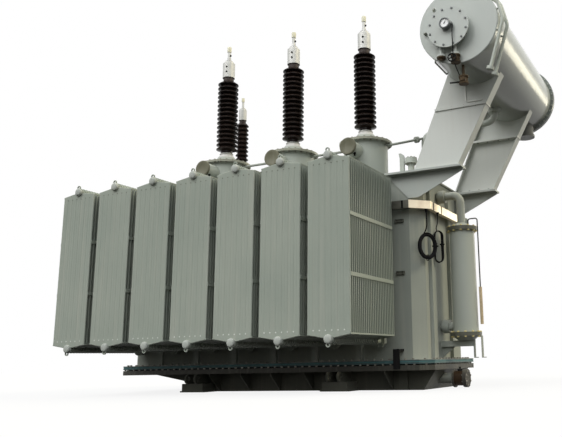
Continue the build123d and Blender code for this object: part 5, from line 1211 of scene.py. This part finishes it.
# Painted shade: the sump at the drum's rear end is darkened by a band along Y; the side rail loops keep the
# lighter paint.
SHADED_SUMP_PAINT = banded("sump_painted_shade", "Y", [(REAR_LOW.y - 0.40, REAR_HIGH.y, (0.12, 0.122, 0.112))],
                    (0.35, 0.372, 0.332), rough=0.4)
DRUM_FLANGE_PAINT = paint("drum_flange_paint", DRUM_FLANGE_TONE, (0.23, 0.245, 0.222), streaks=0.15,
                          gloss=0.1)
LEG_PAINT = paint("leg_paint", (0.575, 0.60, 0.565), (0.615, 0.63, 0.595), streaks=0.12, rough=0.36)
CONDUIT_PAINT = paint("conduit_paint", (0.90, 0.90, 0.85), (0.92, 0.92, 0.88), streaks=0.05)
BRACKET_PAINT = paint("bracket_paint", (0.38, 0.405, 0.38), (0.42, 0.44, 0.41), streaks=0.2, gloss=0.15)
CAP_PAINT = paint("header_cap_paint", (0.36, 0.38, 0.35), (0.41, 0.425, 0.395), streaks=0.2, gloss=0.1)
LID_PAINT = paint("lid_paint", (0.115, 0.112, 0.073), (0.14, 0.135, 0.09), streaks=0.1)
SEAL = paint("red_seal", (0.26, 0.085, 0.055), (0.30, 0.12, 0.08), streaks=0.1, dust_amount=0.1, rough=0.6)
TIP = paint("pale_sleeve", (0.70, 0.67, 0.50), (0.74, 0.71, 0.55), streaks=0.05, dust_amount=0.1)
ALLOY = metal("cast_alloy", (0.47, 0.47, 0.455), (0.36, 0.36, 0.35), rough=0.48, bump=0.03, metallic=0.5)
CAP_ALLOY = cap_alloy()
GASKET = paint("teal_gasket", (0.070, 0.225, 0.24), (0.10, 0.27, 0.285), streaks=0.2, dust_amount=0.2,
               rough=0.6)
CABLE = paint("cable_jacket", (0.007, 0.007, 0.008), (0.012, 0.012, 0.012), streaks=0.03, dust_amount=0.06,
              rough=0.45, gloss=0.05)
TRUNKING = trunking_sheet()
BRONZE = metal("weathered_bronze", (0.066, 0.046, 0.026), (0.018, 0.014, 0.011), rough=0.5,
               stretch=(2.0, 2.0, 2.0), metallic=0.3, gloss=0.1)
BLACK_PAINT = paint("black_paint", (0.008, 0.008, 0.008), (0.014, 0.014, 0.013), streaks=0.03,
                    dust_amount=0.15, rough=0.5, gloss=0.05)
FLANGE_PAINT = banded("flange_paint", "Z", [(FLANGE_LOW.z - 0.010, FLANGE_HIGH.z - 0.006, TEAL)],
                      (0.25, 0.26, 0.235))
# Teal edges of the lower flange, and a near-black rest of the rim that is painted shade.
RIM_TEAL_AND_SHADE_PAINT = banded("rim_teal_and_painted_shade", "Z", [(RIM_HIGH.z - LOWER_FLANGE_THICK - 0.002, RIM_HIGH.z + 0.010, TEAL)],
                   (0.058, 0.056, 0.046))
STEEL = metal("bolt_steel", (0.24, 0.23, 0.20), (0.12, 0.10, 0.08), rough=0.5, metallic=0.5, gloss=0.2)
ZINC = metal("yellow_zinc", (0.66, 0.56, 0.25), (0.48, 0.39, 0.17), rough=0.4, metallic=0.4)
DIAL = paint("dial_enamel", (0.88, 0.89, 0.88), (0.91, 0.91, 0.90), streaks=0.0, dust_amount=0.0, rough=0.25)
BEZEL = paint("gauge_paint", (0.16, 0.175, 0.18), (0.21, 0.22, 0.22), streaks=0.1, dust_amount=0.2,
              rough=0.35)
TURRET_PAINT = banded(
    "turret_paint", "Z", [(TURRET_TOP - TURRET_FLANGE_THICK, TURRET_TOP + EDGE_OVER, (0.345, 0.345, 0.28))],
    (0.42, 0.45, 0.405), rough=0.36)
COLLAR_FINISH = banded("collar_finish", "Z", [(ADAPTER_TOP - 0.070, ADAPTER_TOP + 0.010, (0.58, 0.57, 0.55))],
                       (0.33, 0.35, 0.315), gloss=0.3)
SIGHT_TUBE = banded("sight_tube", "Z", [(FILTER_BOTTOM + 0.140, FILTER_BOTTOM + 0.600, (0.56, 0.44, 0.28))],
                    (0.035, 0.034, 0.032))
DRAIN_FINISH = banded("drain_valve", "X", [(DRAIN_LOW.x - 0.010, DRAIN_PIPE_END, (0.32, 0.33, 0.29)),
                                           (DRAIN_BODY_LOW, DRAIN_BODY_HIGH, (0.036, 0.021, 0.011))],
                      (0.060, 0.056, 0.047), gloss=0.1)

NODE_FINISH = {
    "base_pan": BASE_SHADE_PAINT, "base_rim": RIM_TEAL_AND_SHADE_PAINT, "hauling_feet": FOOT_PAINT, "bell_flange": FLANGE_PAINT,
    "flange_gasket": GASKET, "bushing_porcelain": PORCELAIN, "lv_porcelain": PORCELAIN,
    "bushing_caps": CAP_ALLOY, "lv_metal": ALLOY, "cable_tray": TRUNKING, "conservator_valves": BRONZE,
    "flange_clamp": CABLE, "oil_gauge": BEZEL, "filter_sight_tube": SIGHT_TUBE,
    "drain_valve": DRAIN_FINISH, "conservator_shell": DRUM_PAINT, "conservator_rear": DRUM_FLANGE_PAINT,
    "manhole": DRUM_PAINT, "conservator_legs": LEG_PAINT, "leg_brackets": BRACKET_PAINT,
    "conservator_fittings": SHADED_SUMP_PAINT, "turrets": TURRET_PAINT, "oil_filter": FILTER_PAINT,
    "filter_pipes": PIPE_PAINT, "bushing_feet": COLLAR_FINISH, "main_pipe": FITTING_PAINT,
    # The gas pipe takes the darker tank paint as painted shade.
    "gas_pipe": TANK_PAINT, "vent_pipes": FITTING_PAINT, "cover_fittings": FITTING_PAINT,
}

add_camera()

coil_line = coil_route()
hank_line = hank_route()
add_cord("control_cable_coil", coil_line, COIL_CABLE, "cable_coil", [
    make_piece("coil_ties", *coil_ties(), BLACK_PAINT, "cable"),
    make_piece("coil_gland", *cable_gland(coil_line[0], COIL_CABLE), BLACK_PAINT, "cable")])
add_cord("control_cable_hank", hank_line, HANK_CABLE, "cable_hank", [
    make_piece("hank_ties", *hank_ties(), BLACK_PAINT, "cable"),
    make_piece("hank_gland", *cable_gland(hank_line[0], HANK_CABLE), BLACK_PAINT, "cable")])

for name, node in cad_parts.items():
    finish = RADIATOR_PAINT if name.startswith(("radiator_front", "radiator_rear")) else TANK_PAINT
    finish = NODE_FINISH.get(name, finish)
    node.data.materials.clear()
    node.data.materials.append(finish)

for side, side_name in ((-1, "front"), (1, "rear")):
    sheets = join([fluted_face(bank_x, side) for bank_x in BANK_XS])
    make_piece("radiator_faces_" + side_name, *sheets, RADIATOR_PAINT, "radiator_paint")
# The upper weld dots carry painted shade and the lower ones painted highlight.
make_piece("upper_spot_welds", *spot_welds(HEADER_HIGH_Z, -1), SHADED_SPOT_PAINT, "radiator_paint")
make_piece("lower_spot_welds", *spot_welds(HEADER_LOW_Z, 1), LIT_SPOT_PAINT, "radiator_paint")
make_piece("valve_levers", *valve_levers(), STEEL, "cast_alloy", smooth=False)
make_piece("painted_bolts", *painted_bolts(), TANK_PAINT, "tank_paint", smooth=False)
make_piece("steel_bolts", *steel_bolts(), STEEL, "cast_alloy", smooth=False)
# A black strip that is painted shade, darkening the groove under the lower flange.
make_piece("groove_shade_strip", *groove_shade_strip(), BLACK_PAINT, "black_paint", smooth=False)
make_piece("manhole_bolts", *manhole_bolts(), BEZEL, "gauge", smooth=False)
make_piece("filter_bolts", *filter_bolts(), ZINC, "bronze", smooth=False)
make_piece("weld_beads", *weld_beads(), TANK_PAINT, "tank_paint")
make_piece("gauge_bezel", *gauge_bezel(), BEZEL, "gauge")
make_piece("gauge_dial", *gauge_dial(), DIAL, "gauge")
make_piece("gauge_marks", *gauge_marks(), BLACK_PAINT, "gauge", smooth=False)
make_piece("gauge_conduit", *gauge_conduit(), CABLE, "cable")
make_piece("terminal_conduits", *terminal_conduits(), CABLE, "cable")
make_piece("terminal_glands", *terminal_glands(), BLACK_PAINT, "black_paint")
make_piece("wall_cleats", *wall_cleats(), FOOT_PAINT, "tank_paint", smooth=False)
make_piece("tray_straps", *tray_straps(), BLACK_PAINT, "trunking", smooth=False)
make_piece("drum_lugs", *drum_lugs(), WELD_PAINT, "tank_paint", smooth=False)
make_piece("valve_handles", *valve_handles(), BLACK_PAINT, "black_paint")
make_piece("valve_flanges", *valve_flanges(), BRONZE, "bronze")
make_piece("terminal_lids", *terminal_lids(), LID_PAINT, "tank_paint")
make_piece("bushing_seals", *bushing_seals(), SEAL, "gasket")
make_piece("clamp_rings", *clamp_rings(), ALLOY, "cast_alloy")
make_piece("terminal_clamps", *terminal_clamps(), ALLOY, "cast_alloy")
make_piece("terminal_tips", *terminal_tips(), TIP, "cast_alloy")
make_piece("head_screws", *head_screws(), BLACK_PAINT, "black_paint", smooth=False)
make_piece("pan_gussets", *pan_gussets(), BASE_SHADE_PAINT, "tank_paint", smooth=False)
make_piece("leg_face_plates", *leg_face_plates(), LEG_PAINT, "tank_paint")
make_piece("leg_conduit", *leg_conduit(), CONDUIT_PAINT, "tank_paint")
make_piece("header_caps", *header_caps(), CAP_PAINT, "radiator_paint")

add_floor()
add_world()
add_sun("key", azimuth=-120, elevation=45, energy=2.0, colour=(1.0, 0.99, 0.97), spread=45)
add_sun("front_fill", azimuth=-60, elevation=32, energy=0.52, colour=(0.97, 1.0, 0.98), spread=42)
add_sun("warm_side", azimuth=16, elevation=42, energy=1.75, colour=(1.0, 0.90, 0.64), spread=25)
add_sun("drum_glint", azimuth=64, elevation=11, energy=0.28, colour=(1.0, 0.93, 0.72), spread=14)
